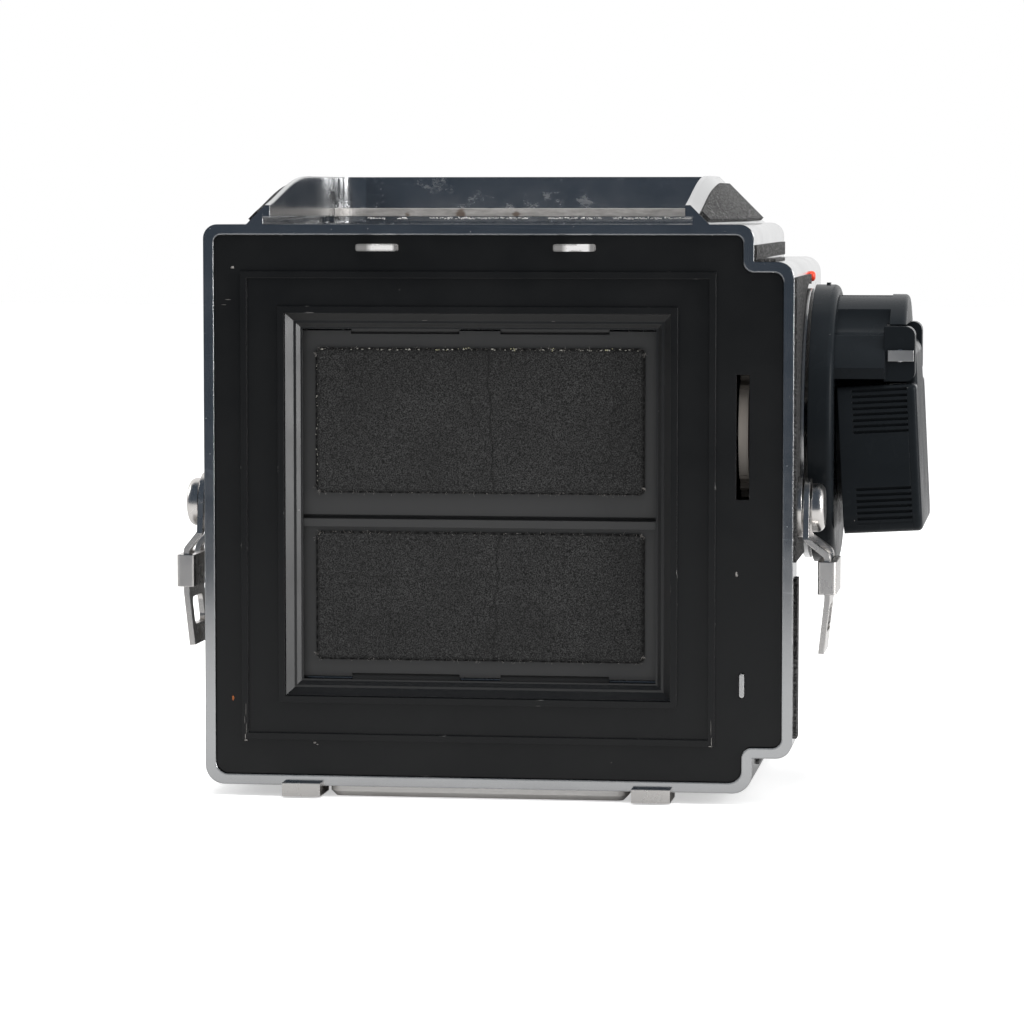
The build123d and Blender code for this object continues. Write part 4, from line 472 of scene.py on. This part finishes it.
dress(satin_chrome, "outer_shell", "front_plate", "screen_frame", "accessory_rail")
dress(rear_enamel, "rear_plate")
dress(bevel_black, "light_frame")
dress(chamber_black, "mirror_box")
dress(door_black, "upper_door", "lower_door", "mirror_carrier")
wheel_steel = hard_finish(
    "wheel_steel", grey(0.14, 0.12), 0.6, grain=0.15, grain_depth=0.006, uneven=0.3, edge_radius=0.15,
    wear_and_highlight_colour=grey(0.6), wear_and_highlight=0.3, dust=0.35, scratch=0.3, dust_colour=grey(0.6, 0.1))
hook_steel = hard_finish(
    "hook_steel", grey(0.95, 0.02), 0.3, metallic=0.25, grain=0.15, uneven=0.25, edge_radius=0.15,
    wear_and_highlight_colour=grey(0.12), wear_and_highlight=0.8, wear_and_highlight_width=0.5, dust=0.3, scratch=0.6, dust_colour=grey(0.15),
    dust_spacing=0.5)
band_steel = hard_finish("band_steel", grey(0.50, 0.02), 0.4, metallic=1.0, grain_depth=0.003, uneven=0.2)
hook_tree = hook_steel.node_tree
hook_low, hook_high = [corner[0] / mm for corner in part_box("magazine_hooks")]
hook_width = 6.6
hook_x = put(hook_tree, "SeparateXYZ", {0: place_mm(hook_tree)}).outputs[0]
hook_pitch = hook_high - hook_low - hook_width
on_hook = maths(hook_tree, "MODULO", maths(hook_tree, "SUBTRACT", hook_x, hook_low), hook_pitch)
# Painted shade: each hook is darkened over its left third and at its right end.
left_third = remap(hook_tree, on_hook, 0.38 * hook_width, 0.24 * hook_width)
right_end = remap(hook_tree, on_hook, 0.86 * hook_width, 0.92 * hook_width)
hook_painted_shade = maths(hook_tree, "MAXIMUM", left_third, right_end)
hook_shader = hook_tree.nodes["Principled BSDF"]
hook_plain = hook_shader.inputs["Base Color"].links[0].from_socket
hook_tone = blend_colour(hook_tree, maths(hook_tree, "MULTIPLY", hook_painted_shade, 0.85), hook_plain, grey(0.16, 0.03))
hook_tree.links.new(hook_tone, hook_shader.inputs["Base Color"])
dress(hook_steel, "magazine_hooks")
dress(bright_steel, "magazine_shaft", "magazine_gear", "winder_shaft", "winder_gear",
      "gear_bracket", "door_pins", "mirror_pin", "crank_pin", "signal_key")
dress(wheel_steel, "magazine_wheel")
dress(band_steel, "crank_bands")
dress(warm_nickel, "strap_studs", "strap_washers", "strap_clip_left", "strap_clip_right",
      "clip_sleeve_left", "clip_sleeve_right", "magazine_supports")
dress(foot_aluminium, "foot_plate", "name_plate")
dress(ring_chrome, "winder_ring", "lens_mount_ring", "release_collar", "release_button", "time_lever",
      "lens_catch_button", "screen_catch_left", "screen_catch_right")
dress(plain_chrome, "foot_screws", "front_plate_screws", "rail_screws", "ring_screws", "lens_drive_shaft")
dress(shaft_brass, "lens_drive_bush", "winder_bush")
dress(knob_black, "knob_body", "knob_collar", "crank_arm", "crank_grip")
dress(red_enamel, "index_dot")
print("hard finishes:", len(bpy.data.materials))

# %% [markdown]
# The doors carry light seals of black felt. Felt is a mat of loose fibres, so it
# has no weave: it shows as a dark grey with lighter flecks a fifth of a
# millimetre across. The sheets were cut with a toothed die, and all round them
# short tufts stand between small pits. Years of magazines pressing on the
# sheets have left a few creases. The tufts, pits and creases are in the mesh, and
# the flecks are in the material. The pits, the creases and a band along the
# outline are also darkened with painted shade.

# %% Smooth random fields and grids
nap_seed = 6060
felt_random = np.random.default_rng(nap_seed)


def smooth_field(rows, columns, spacing, size, random):
    """A random height field on a grid: white noise whose spectrum is multiplied by a bell curve, so that
    its lumps are about size millimetres across, scaled to a spread of one."""
    white_noise = random.standard_normal((rows, columns))
    row_waves = np.fft.fftfreq(rows, spacing)[:, None]
    column_waves = np.fft.fftfreq(columns, spacing)[None, :]
    bell = np.exp(-(row_waves ** 2 + column_waves ** 2) * (size * math.pi) ** 2 / 2)
    field = np.fft.ifft2(np.fft.fft2(white_noise) * bell).real
    return field / field.std()


def graded_line(low, high, fine, coarse, band):
    """Points from low to high that are fine apart within band of either end and coarse apart between."""
    ends = np.arange(0.0, band, fine)
    middle = np.linspace(low + band, high - band, max(2, round((high - low - 2 * band) / coarse) + 1))
    return np.concatenate([low + ends, middle, (high - ends)[::-1]])


def mesh_from_arrays(name, points, faces, smooth=True):
    """A new object from points in millimetres and a list or array of faces."""
    mesh = bpy.data.meshes.new(name)
    mesh.from_pydata((points * mm).tolist(), [], [tuple(f) for f in faces])
    mesh.update()
    if smooth:
        mesh.shade_smooth()
    thing = bpy.data.objects.new(name, mesh)
    bpy.context.scene.collection.objects.link(thing)
    return thing


def xyz(x, y, z):
    """Three arrays or plain values side by side, as rows of three numbers."""
    return np.stack(np.broadcast_arrays(x, y, z), axis=-1)


def grid_faces(rows, columns):
    """The quads of a grid of points, facing the side from which rows run up and columns run right."""
    index = np.arange(rows * columns).reshape(rows, columns)
    quads = np.stack([index[:-1, :-1], index[:-1, 1:], index[1:, 1:], index[1:, :-1]], axis=-1)
    return quads.reshape(-1, 4)


def give_mask(thing, name, values):
    """Stores one value per vertex as an attribute that the material can read."""
    attribute = thing.data.attributes.new(name, "FLOAT", "POINT")
    attribute.data.foreach_set("value", values.astype(np.float32).ravel())


# %% Felt sheets
felt_corner = 1.1
tuft_pitch = 1.5
pit_inset = 0.26
pit_width = 0.2
pit_depth = 0.42
edge_shade = 0.42
edge_round = 0.25
nap_height = 0.022
nap_size = 0.45
jitter_size = 3.0
crease_width = 0.12
crease_depth = 0.09
fine_step, coarse_step, fine_band = 0.09, 0.2, 0.9
behind_pad = 0.001
# Strengths of the painted shade in the creases and in the pits.
crease_shade, pit_shade = 0.8, 0.9


def crease_mask(x, z, creases, width):
    """1 on the creases and 0 away from them. A crease is a line from one point to another that wanders
    a little, given as (x, z) to (x, z), strength and wander."""
    mask = np.zeros_like(x)
    for (x0, z0), (x1, z1), strength, wander in creases:
        length = math.hypot(x1 - x0, z1 - z0)
        along = ((x - x0) * (x1 - x0) + (z - z0) * (z1 - z0)) / length
        aside = ((x - x0) * (z1 - z0) - (z - z0) * (x1 - x0)) / length
        waves = np.sin(along * 0.9 + x0) + 0.5 * np.sin(along * 2.3 + z0) + 0.3 * np.sin(along * 5.1)
        path = wander * waves
        inside = (along > 0) & (along < length)
        mask = np.maximum(mask, strength * inside * np.exp(-((aside - path) / width) ** 2))
    return mask


def felt_sheet(name, node, creases, random):
    """A felt sheet in the box of a CAD pad. Its face is a grid. Towards the outline the height falls in a
    quarter circle, pits lie a little inside the outline, one per tuft pitch, and the nap is smooth noise."""
    low, high = [np.array(corner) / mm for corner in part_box(node)]
    x_line = graded_line(low[0], high[0], fine_step, coarse_step, fine_band)
    z_line = graded_line(low[2], high[2], fine_step, coarse_step, fine_band)
    x, z = np.meshgrid(x_line, z_line)
    middle = (low + high) / 2
    half = (high - low) / 2 - felt_corner
    beyond_x = np.maximum(abs(x - middle[0]) - half[0], 0)
    beyond_z = np.maximum(abs(z - middle[2]) - half[2], 0)
    from_corner = np.hypot(beyond_x, beyond_z)
    straight = np.minimum(high[0] - middle[0] - abs(x - middle[0]), high[2] - middle[2] - abs(z - middle[2]))
    inset = np.where(from_corner > 0, felt_corner - from_corner, straight)
    outside = inset < 0
    squeeze = np.where(outside, felt_corner / np.maximum(from_corner, 1e-6), 1.0)
    for line, centre, reach in ((x, middle[0], half[0]), (z, middle[2], half[2])):
        beyond = np.clip(abs(line - centre) - reach, 0, None)
        line[outside] = (centre + np.sign(line - centre) * (reach + beyond * squeeze))[outside]
    inset = np.clip(inset, 0, None)
    along = np.where(abs(x - middle[0]) / half[0] > abs(z - middle[2]) / half[2], z, x)
    jitter = smooth_field(len(z_line), len(x_line), coarse_step, jitter_size, random)
    tuft = 0.5 + 0.5 * np.cos(2 * math.pi * along / tuft_pitch + 0.5 * jitter)
    pits = (1 - tuft ** 2) * np.exp(-((inset - pit_inset) / pit_width) ** 2)
    edge = np.sqrt(1 - (1 - np.clip(inset / edge_round, 0, 1)) ** 2)
    nap = smooth_field(len(z_line), len(x_line), coarse_step, nap_size, random)
    crease = crease_mask(x, z, creases, crease_width)
    thickness = high[1] - low[1]
    lift = edge * (thickness - nap_height * 3) + nap_height * nap * edge
    lift = lift - pit_depth * pits * edge - crease_depth * crease
    y = high[1] - np.clip(lift, 0.0, thickness)
    rows, columns = x.shape
    points = xyz(x, y, z).reshape(-1, 3)
    faces = grid_faces(rows, columns).tolist()
    index = np.arange(rows * columns).reshape(rows, columns)
    outline = np.concatenate([index[0, :], index[1:, -1], index[-1, -2::-1], index[-2:0:-1, 0]])
    back = points[outline].copy()
    back[:, 1] = high[1] + behind_pad
    count = len(outline)
    back_index = len(points) + np.arange(count)
    ahead, back_ahead = np.roll(outline, -1), np.roll(back_index, -1)
    faces += np.stack([outline, back_index, back_ahead, ahead], axis=-1).tolist()
    faces.append(back_index[::-1].tolist())
    sheet = mesh_from_arrays(name, np.concatenate([points, back]), faces)
    # Painted shade: the felt is darkened along its outline, in its pits and creases, and fully on its cut
    # sides.
    border_shade = pit_shade * np.exp(-(inset / edge_shade) ** 2)
    painted_hollow_shade = np.maximum(np.maximum(crease_shade * crease, pit_shade * pits * edge), border_shade)
    dark = np.concatenate([painted_hollow_shade.ravel(), np.ones(count)])
    give_mask(sheet, "hollow_shade", dark)
    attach(sheet, nodes[node]["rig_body"])
    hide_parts(node)
    print(name, "faces:", len(faces), "size mm:", np.round(high - low, 1))
    return sheet, points[outline]


upper_creases = [((1.2, 72), (2.3, 46), 1.0, 0.16), ((-19.5, 67.0), (-14.0, 71.5), 0.5, 0.3)]
lower_creases = [((3.1, 43), (2.2, 20), 1.0, 0.22), ((-14.6, 42), (-14.2, 20), 0.35, 0.25),
                 ((13.2, 42), (13.6, 20), 0.45, 0.2), ((-25, 34.6), (24, 33.6), 0.4, 0.3)]
upper_felt, upper_outline = felt_sheet("upper_felt", "upper_door_pad", upper_creases, felt_random)
lower_felt, lower_outline = felt_sheet("lower_felt", "lower_door_pad", lower_creases, felt_random)

# %% Felt material
felt_black, felt_tree, felt_shader = start_material("felt_black")
felt_place = place_mm(felt_tree)
flecks = noise(felt_tree, felt_place, 5.4, 3.0, 0.75)
fleck_share = remap(felt_tree, flecks, 0.43, 0.66)
felt_tone = blend_colour(felt_tree, fleck_share, grey(0.0035), grey(0.078))
felt_clouds = noise(felt_tree, felt_place, 0.12, 2.0, 0.5)
cloud_share = remap(felt_tree, felt_clouds, 0.3, 0.75, 0.0, 0.35)
felt_tone = blend_colour(felt_tree, cloud_share, felt_tone, grey(0.010))
# Painted shade: the attribute read here darkens the felt in its pits and creases, along its outline and on its
# cut sides.
hollow_shade = put(felt_tree, "Attribute", attribute_name="hollow_shade").outputs["Fac"]
hollow_shade_share = maths(felt_tree, "MULTIPLY", hollow_shade, 0.9, clamp=True)
felt_tone = blend_colour(felt_tree, hollow_shade_share, felt_tone, grey(0.004))
felt_bump = put(felt_tree, "Bump", {"Height": flecks, "Distance": 0.05 * mm})
felt_tree.links.new(felt_tone, felt_shader.inputs["Base Color"])
felt_tree.links.new(felt_bump.outputs["Normal"], felt_shader.inputs["Normal"])
felt_shader.inputs["Roughness"].default_value = 0.95
felt_shader.inputs["Specular IOR Level"].default_value = 0.15
felt_shader.inputs["Sheen Weight"].default_value = 0.12
felt_shader.inputs["Sheen Roughness"].default_value = 0.6
for sheet in (upper_felt, lower_felt):
    sheet.data.materials.append(felt_black)

# %% [markdown]
# Along the cut edge single fibres stick out and catch the light, and the paler
# lumps of their colour are a painted highlight. On the upper edge of the upper
# sheet a few yellowish crumbs have settled, and paler lint lies there and along
# the left edge. A fibre is a thin tapered rod with three sides, bent once. All
# the fibres of a sheet are one mesh, worked out together as arrays: the same
# small rod, turned and placed many times. Crumbs and lint are made in the same
# way from a small uneven ball.

# %% Fibres along the felt's edge
fibre_sides = 3
fibre_steps = 3
fibre_inset = (0.05, 0.5)
fibre_behind = (0.15, 0.4)
fibre_reach = (0.18, 0.55)
fibre_thick = (0.016, 0.032)
fibre_spread = (0.55, 0.12, 0.55)
fibre_lean, fibre_rise, fibre_scatter = 0.35, 0.25, 0.05
fibre_droop = (0.10, 0.02, 0.10)
highest_fibre, lowest_fibre, tip_taper = 0.06, 0.6, 0.6


def edge_fibres(name, outline, count, random, sheet_front, body):
    """Count tapered rods whose roots lie on the outline. Each bends along a parabola: root + t * heading
    + t squared * droop, with t from 0 to 1, and its ring of three points shrinks towards the tip."""
    start = random.integers(0, len(outline), count)
    root = outline[start] + random.normal(0, fibre_scatter, (count, 3))
    centre = outline.mean(axis=0)
    outward = root - centre
    extent = (outline.max(axis=0) - outline.min(axis=0)) / 2
    by_side = abs(outward[:, 0]) / extent[0] > abs(outward[:, 2]) / extent[2]
    away = np.where(by_side[:, None], (1, 0, 0), (0, 0, 1)) * np.sign(outward)
    root -= away * random.uniform(*fibre_inset, (count, 1))
    root[:, 1] = sheet_front + random.uniform(*fibre_behind, count)
    heading = fibre_lean * away + random.normal(0, 1, (count, 3)) * fibre_spread - (0, fibre_rise, 0)
    reach = random.uniform(*fibre_reach, (count, 1))
    heading *= reach / np.linalg.norm(heading, axis=1, keepdims=True)
    droop = random.normal(0, 1, (count, 3)) * fibre_droop
    steps = np.linspace(0, 1, fibre_steps)[None, :, None]
    spine = root[:, None] + steps * heading[:, None] + steps ** 2 * droop[:, None]
    spine[..., 1] = np.clip(spine[..., 1], sheet_front - highest_fibre, sheet_front + lowest_fibre)
    thick = random.uniform(*fibre_thick, (count, 1, 1)) * (1 - tip_taper * steps)
    angle = np.linspace(0, 2 * math.pi, fibre_sides, endpoint=False)
    across = np.cross(heading, (0.0, 1.0, 0.01))
    across /= np.linalg.norm(across, axis=1, keepdims=True)
    upward = np.cross(heading, across)
    upward /= np.linalg.norm(upward, axis=1, keepdims=True)
    ring = (np.cos(angle)[None, None, :, None] * across[:, None, None]
            + np.sin(angle)[None, None, :, None] * upward[:, None, None])
    points = (spine[:, :, None] + thick[..., None] * ring).reshape(-1, 3)
    base = (np.arange(count) * fibre_steps * fibre_sides)[:, None]
    walls = []
    for step in range(fibre_steps - 1):
        for side in range(fibre_sides):
            a, b = step * fibre_sides + side, step * fibre_sides + (side + 1) % fibre_sides
            walls.append((a, b, b + fibre_sides, a + fibre_sides))
    quads = (base[:, :, None] + np.array(walls)[None]).reshape(-1, 4)
    caps = np.array([(2, 1, 0), tuple((fibre_steps - 1) * fibre_sides + s for s in (0, 1, 2))])
    triangles = (base[:, :, None] + caps[None]).reshape(-1, 3)
    fibres = mesh_from_arrays(name, points, quads.tolist() + triangles.tolist())
    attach(fibres, body)
    return fibres


fibre_painted_highlight, fibre_tree, fibre_shader = start_material("fibre_painted_highlight")
# Painted highlight: lumps of the fibres are pale grey where they would catch the light.
fibre_lumps = noise(fibre_tree, place_mm(fibre_tree), 1.6, 2.0, 0.6)
fibre_highlight_share = remap(fibre_tree, fibre_lumps, 0.42, 0.62)
fibre_tone = blend_colour(fibre_tree, fibre_highlight_share, grey(0.03), grey(0.42, 0.06))
fibre_tree.links.new(fibre_tone, fibre_shader.inputs["Base Color"])
fibre_shader.inputs["Roughness"].default_value = 0.85
upper_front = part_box("upper_door_pad")[0][1] / mm
lower_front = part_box("lower_door_pad")[0][1] / mm
fibres = [edge_fibres("upper_felt_fibres", upper_outline, 620, felt_random, upper_front, "upper_door"),
          edge_fibres("lower_felt_fibres", lower_outline, 520, felt_random, lower_front, "lower_door")]
for one in fibres:
    one.data.materials.append(fibre_painted_highlight)
print("felt fibres:", sum(len(one.data.polygons) for one in fibres), "faces")

# %% Crumbs and lint on the upper sheet's edge
crumb_rows, crumb_columns = 6, 8


def crumb_cloud(name, places, sizes, random, body, stretch=(1.0, 1.0, 1.0)):
    """Small lumps: spheres from latitude and longitude whose radius varies at random by a third. A stretch
    for all of them, or one for each, makes them long or flat."""
    latitude = np.linspace(0, math.pi, crumb_rows)
    longitude = np.linspace(0, 2 * math.pi, crumb_columns, endpoint=False)
    lat, lon = np.meshgrid(latitude[1:-1], longitude, indexing="ij")
    bands = xyz(np.sin(lat) * np.cos(lon), np.sin(lat) * np.sin(lon), np.cos(lat))
    ball = np.concatenate([bands.reshape(-1, 3), [(0, 0, 1), (0, 0, -1)]])
    count, size = len(places), len(ball)
    radius = np.array(sizes)[:, None, None] * random.uniform(0.7, 1.3, (count, size, 1))
    shape = np.broadcast_to(np.array(stretch, float), (count, 3))[:, None]
    points = (np.array(places)[:, None] + radius * ball[None] * shape).reshape(-1, 3)
    rows = crumb_rows - 2
    index = np.arange(rows * crumb_columns).reshape(rows, crumb_columns)
    right = np.roll(index, -1, axis=1)
    quads = np.stack([index[:-1], index[1:], right[1:], right[:-1]], axis=-1).reshape(-1, 4)
    top, bottom = xyz(size - 2, index[0], right[0]), xyz(size - 1, right[-1], index[-1])
    shift = (np.arange(count) * size)[:, None, None]
    faces = (quads[None] + shift).reshape(-1, 4).tolist()
    faces += (np.concatenate([top, bottom])[None] + shift).reshape(-1, 3).tolist()
    crumbs = mesh_from_arrays(name, points, faces)
    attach(crumbs, body)
    return crumbs


crumb_centres = (-6.3, -2.2, 5.2, 11.2, 20.5)
crumbs_each, crumb_spread, crumb_drop, crumb_sink = 4, 0.5, 0.45, 0.22
crumb_sizes = (0.05, 0.12)
left_x, low_z, right_x, high_z = [corner[axis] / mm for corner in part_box("upper_door_pad") for axis in (0, 2)]
crumb_x = np.concatenate([felt_random.normal(centre, crumb_spread, crumbs_each) for centre in crumb_centres])
crumb_z = high_z - felt_random.uniform(0.0, crumb_drop, len(crumb_x))
crumb_places = xyz(crumb_x, upper_front + crumb_sink, crumb_z)
crumb_radii = felt_random.uniform(*crumb_sizes, len(crumb_x))
crumbs = crumb_cloud("felt_crumbs", crumb_places, crumb_radii, felt_random, "upper_door")
crumb_material = hard_finish("crumb_pale", (0.52, 0.50, 0.32, 1), 0.9, grain=0.1, grain_depth=0.01)
crumbs.data.materials.append(crumb_material)

lint_count, lint_on_top = 150, 110
lint_inset, lint_corner, lint_jitter = 0.3, 0.9, 0.07
lint_sizes = (0.04, 0.11)
on_top = np.arange(lint_count) < lint_on_top
along_top = felt_random.uniform(left_x + lint_corner, right_x - lint_corner, lint_count)
along_left = felt_random.uniform(low_z + 2, high_z - 1, lint_count)
lint_places = xyz(np.where(on_top, along_top, left_x + lint_inset), upper_front + lint_inset,
                  np.where(on_top, high_z - lint_inset, along_left))
lint_places[:, ::2] += felt_random.normal(0, lint_jitter, (lint_count, 2))
top_long = felt_random.uniform(1.0, 2.6, lint_count)
left_long = felt_random.uniform(0.8, 2.0, lint_count)
lint_stretch = xyz(np.where(on_top, top_long, 0.8), 0.8, np.where(on_top, 0.9, left_long))
lint = crumb_cloud("felt_lint", lint_places, felt_random.uniform(*lint_sizes, lint_count), felt_random,
                   "upper_door", lint_stretch)
lint_pale = hard_finish("lint_pale", (0.50, 0.49, 0.44, 1), 0.9, grain=0.1, grain_depth=0.01)
lint.data.materials.append(lint_pale)
print("crumbs and lint:", len(crumb_x), "and", lint_count)

# %% [markdown]
# A used camera body carries small marks, and they say as much about its age as
# the finish does. The seat of the finder has a paler strip along its front wall
# and round its corners, with a few rust stains, and below it a line of chips. On
# the rear plate there are bare places along the ridges, a few scratches and a
# speck of rust. The chips and marks are flat lumps, made by the function for the
# crumbs.

# %% Strip in the finder's seat
seat_wall_y = 28.7
strip_thickness = 0.10
strip_low, strip_high = 90.05, 91.45
strip_half = 27.6
strip_corner = 4.6
stain_brown = (0.12, 0.065, 0.03, 1)
stain_table = ((-11.4, 90.5, 0.75), (-2.0, 90.4, 0.55), (-20.5, 90.3, 0.35))


def wall_strip(name, x_half, y_wall, corner, low, high, thick):
    """A thin closed band along a wall that faces -Y and round the quarter circles at its two ends:
    (x_half + r cos a, y_wall - corner + r sin a), with r = corner on the wall and corner - thick in front."""
    angle = np.linspace(0, math.pi / 2, 13)
    turn = np.concatenate([angle, math.pi - angle[::-1]])
    side = np.repeat([x_half, -x_half], len(angle))
    rings = []
    front = corner - thick
    for radius, height in ((corner, low), (front, low + thick), (front, high - thick), (corner, high)):
        rings.append(xyz(side + radius * np.cos(turn), y_wall - corner + radius * np.sin(turn), height))
    points = np.stack(rings, axis=1).reshape(-1, 3)
    step, ring = np.meshgrid(np.arange(len(turn) - 1), np.arange(4), indexing="ij")
    a, b = 4 * step + ring, 4 * step + (ring + 1) % 4
    faces = np.stack([a, b, b + 4, a + 4], axis=-1).reshape(-1, 4).tolist()
    last = 4 * (len(turn) - 1)
    faces += [[3, 2, 1, 0], [last, last + 1, last + 2, last + 3]]
    return mesh_from_arrays(name, points, faces, smooth=False)


seat_strip = wall_strip("seat_strip", strip_half, seat_wall_y, strip_corner, strip_low, strip_high,
                        strip_thickness)
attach(seat_strip, nodes["outer_shell"]["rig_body"])
strip_satin, strip_tree, strip_shader = start_material("strip_satin", 0.5)
strip_place = place_mm(strip_tree)
strip_lumps = noise(strip_tree, place_mm(strip_tree, (0.25, 1.0, 1.0)), 1.4, 4.0, 0.65)
lump_share = remap(strip_tree, strip_lumps, 0.35, 0.7)
strip_tone = blend_colour(strip_tree, lump_share, grey(0.38, 0.05), grey(0.62, 0.04))
for stain_x, stain_z, stain_size in stain_table:
    away = put(strip_tree, "VectorMath", {0: strip_place, 1: (stain_x, seat_wall_y, stain_z)},
               operation="DISTANCE").outputs["Value"]
    ragged = maths(strip_tree, "ADD", away, strip_lumps)
    stain = remap(strip_tree, ragged, stain_size + 0.75, stain_size + 0.3)
    strip_tone = blend_colour(strip_tree, maths(strip_tree, "MULTIPLY", stain, 0.75), strip_tone, stain_brown)
strip_tree.links.new(strip_tone, strip_shader.inputs["Base Color"])
strip_shader.inputs["Roughness"].default_value = 0.45
seat_strip.data.materials.append(strip_satin)

# %% Chips and marks
mark_random = np.random.default_rng(nap_seed + 1)
chip_count = 430
chip_line_z, chip_scatter, chip_proud = 89.75, 0.07, 0.05
crowd_points, crowd_step, crowd_size, crowd_least = 400, 0.14, 2.5, -0.75
chip_x = mark_random.uniform(-strip_half, strip_half, chip_count)
crowding = smooth_field(1, crowd_points, crowd_step, crowd_size, mark_random)[0]
crowd_index = ((chip_x / strip_half + 1) * (crowd_points / 2 - 1)).astype(int)
chip_x = chip_x[crowding[crowd_index] > crowd_least]
chip_z = chip_line_z + mark_random.normal(0, chip_scatter, len(chip_x))
chip_places = xyz(chip_x, seat_wall_y - chip_proud, chip_z)
chip_long = mark_random.uniform(1.0, 2.6, len(chip_x))
chip_tall = mark_random.uniform(0.7, 1.2, len(chip_x))
chip_stretch = xyz(chip_long, 0.5, chip_tall)
seat_chips = crumb_cloud("seat_chips", chip_places, mark_random.uniform(0.05, 0.10, len(chip_x)), mark_random,
                         nodes["outer_shell"]["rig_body"], chip_stretch)
chip_pale = hard_finish("chip_pale", grey(0.78, 0.02), 0.6, grain=0.1, grain_depth=0.01)
seat_chips.data.materials.append(chip_pale)
plate_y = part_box("rear_plate")[0][1] / mm
ridge_height, mark_thick = 0.5, 0.03
ridge, face = plate_y, plate_y + ridge_height
mark_table = np.array([
    (-36.35, ridge, 8.75, 0.26, 0.1), (-36.42, ridge, 9.3, 0.07, 0.45), (-36.25, ridge, 10.6, 0.04, 0.9),
    (-36.5, ridge, 11.9, 0.03, 0.6), (-36.3, ridge, 13.3, 0.025, 1.1), (36.5, ridge, 9.6, 0.05, 0.8),
    (36.42, ridge, 11.9, 0.03, 1.3), (36.35, ridge, 9.0, 0.30, 0.08), (-25.5, face, 8.5, 0.22, 0.16),
    (-25.1, face, 8.2, 0.16, 0.08), (-38.9, face, 77.4, 0.50, 0.04), (-39.6, face, 76.6, 0.36, 0.03),
    (-38.2, face, 82.4, 0.30, 0.22), (12.0, ridge, 74.2, 0.30, 0.03), (-8.0, ridge, 74.3, 0.42, 0.03),
    (40.2, face, 35.6, 0.20, 0.42), (-12.0, face, 79.0, 0.07, 0.05), (21.0, face, 6.2, 0.06, 0.06)])
mark_shapes = xyz(mark_table[:, 3], mark_thick, mark_table[:, 4])
plate_marks = crumb_cloud("plate_marks", mark_table[:, :3], np.ones(len(mark_table)), mark_random,
                          nodes["rear_plate"]["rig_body"], mark_shapes)
mark_grey = hard_finish("mark_grey", grey(0.24, 0.05), 0.7, grain=0.1, grain_depth=0.01)
plate_marks.data.materials.append(mark_grey)
rust_speck = crumb_cloud("rust_speck", np.array([(-38.4, face, 15.3)]), np.array([1.0]), mark_random,
                         nodes["rear_plate"]["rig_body"], (0.2, 0.05, 0.36))
rust_orange = hard_finish("rust_orange", (0.42, 0.13, 0.04, 1), 0.8, grain=0.1, grain_depth=0.01)
rust_speck.data.materials.append(rust_orange)
print("marks:", len(chip_x), "chips and", len(mark_table) + 1, "marks on the plate")

# %% [markdown]
# The coverings are leatherette: cloth with a skin of black plastic, pressed into
# a pebble grain. Real grain is a net of fine valleys between rounded pebbles, and
# a Voronoi pattern is just that. Two sizes of it are laid over each other. The
# valleys are darkened with painted shade, the pebbles' tops are lighter and
# rubbed smooth, and a little dust lies over it all.

# %% Leatherette
leatherette, leather_tree, leather_shader = start_material("leatherette_black")
leather_place = place_mm(leather_tree)
leather_bend = put(leather_tree, "TexNoise", {"Vector": leather_place, "Scale": 0.8}).outputs["Color"]
warped = put(leather_tree, "VectorMath", {0: leather_place, 1: leather_bend}).outputs[0]
pebbles = put(leather_tree, "TexVoronoi", {"Vector": warped, "Scale": 1.5, "Randomness": 0.95},
              feature="DISTANCE_TO_EDGE").outputs["Distance"]
small_pebbles = put(leather_tree, "TexVoronoi", {"Vector": warped, "Scale": 2.6, "Randomness": 1.0},
                    feature="DISTANCE_TO_EDGE").outputs["Distance"]
dome = remap(leather_tree, pebbles, 0.0, 0.30)
small_dome = remap(leather_tree, small_pebbles, 0.0, 0.22)
leather_height = maths(leather_tree, "ADD", maths(leather_tree, "MULTIPLY", dome, 0.7),
                       maths(leather_tree, "MULTIPLY", small_dome, 0.3))
# The colour follows the grain's height: painted shade darkens the valleys, and the pebble tops are lighter.
leather_tone = blend_colour(leather_tree, leather_height, grey(0.005, 0.03), grey(0.060, 0.02))
leather_dust = use(leather_tree, dust_specks, Share=0.3, Size=0.09)["Mask"]
leather_tone = blend_colour(leather_tree, maths(leather_tree, "MULTIPLY", leather_dust, 0.6), leather_tone,
                            grey(0.35, 0.08))
leather_rough = remap(leather_tree, leather_height, 0.2, 0.9, 0.75, 0.36)
leather_bump = put(leather_tree, "Bump", {"Height": leather_height, "Distance": 0.40 * mm})
leather_tree.links.new(leather_tone, leather_shader.inputs["Base Color"])
leather_tree.links.new(leather_rough, leather_shader.inputs["Roughness"])
leather_tree.links.new(leather_bump.outputs["Normal"], leather_shader.inputs["Normal"])
dress(leatherette, "brow_leather", "front_leather", "side_leather_left", "side_leather_right")

# %% Mirror and focusing screen
mirror_silver = hard_finish(
    "mirror_silver", grey(0.86), 0.03, metallic=1.0, grain=0.4, grain_depth=0.0, uneven=0.3,
    edge_radius=0.2, dust=0.35, dust_colour=grey(0.25))
screen_matt, screen_tree, screen_shader = start_material("screen_matt")
screen_grain = put(screen_tree, "TexNoise", {"Vector": place_mm(screen_tree), "Scale": 9.0})
screen_tone = blend_colour(screen_tree, screen_grain.outputs[0], grey(0.62), grey(0.74))
screen_tree.links.new(screen_tone, screen_shader.inputs["Base Color"])
screen_bump = put(screen_tree, "Bump", {"Height": screen_grain.outputs[0], "Distance": 0.01 * mm})
screen_tree.links.new(screen_bump.outputs["Normal"], screen_shader.inputs["Normal"])
screen_shader.inputs["Roughness"].default_value = 0.32
screen_shader.inputs["Transmission Weight"].default_value = 0.65
dress(mirror_silver, "mirror_glass")
dress(screen_matt, "focusing_screen")
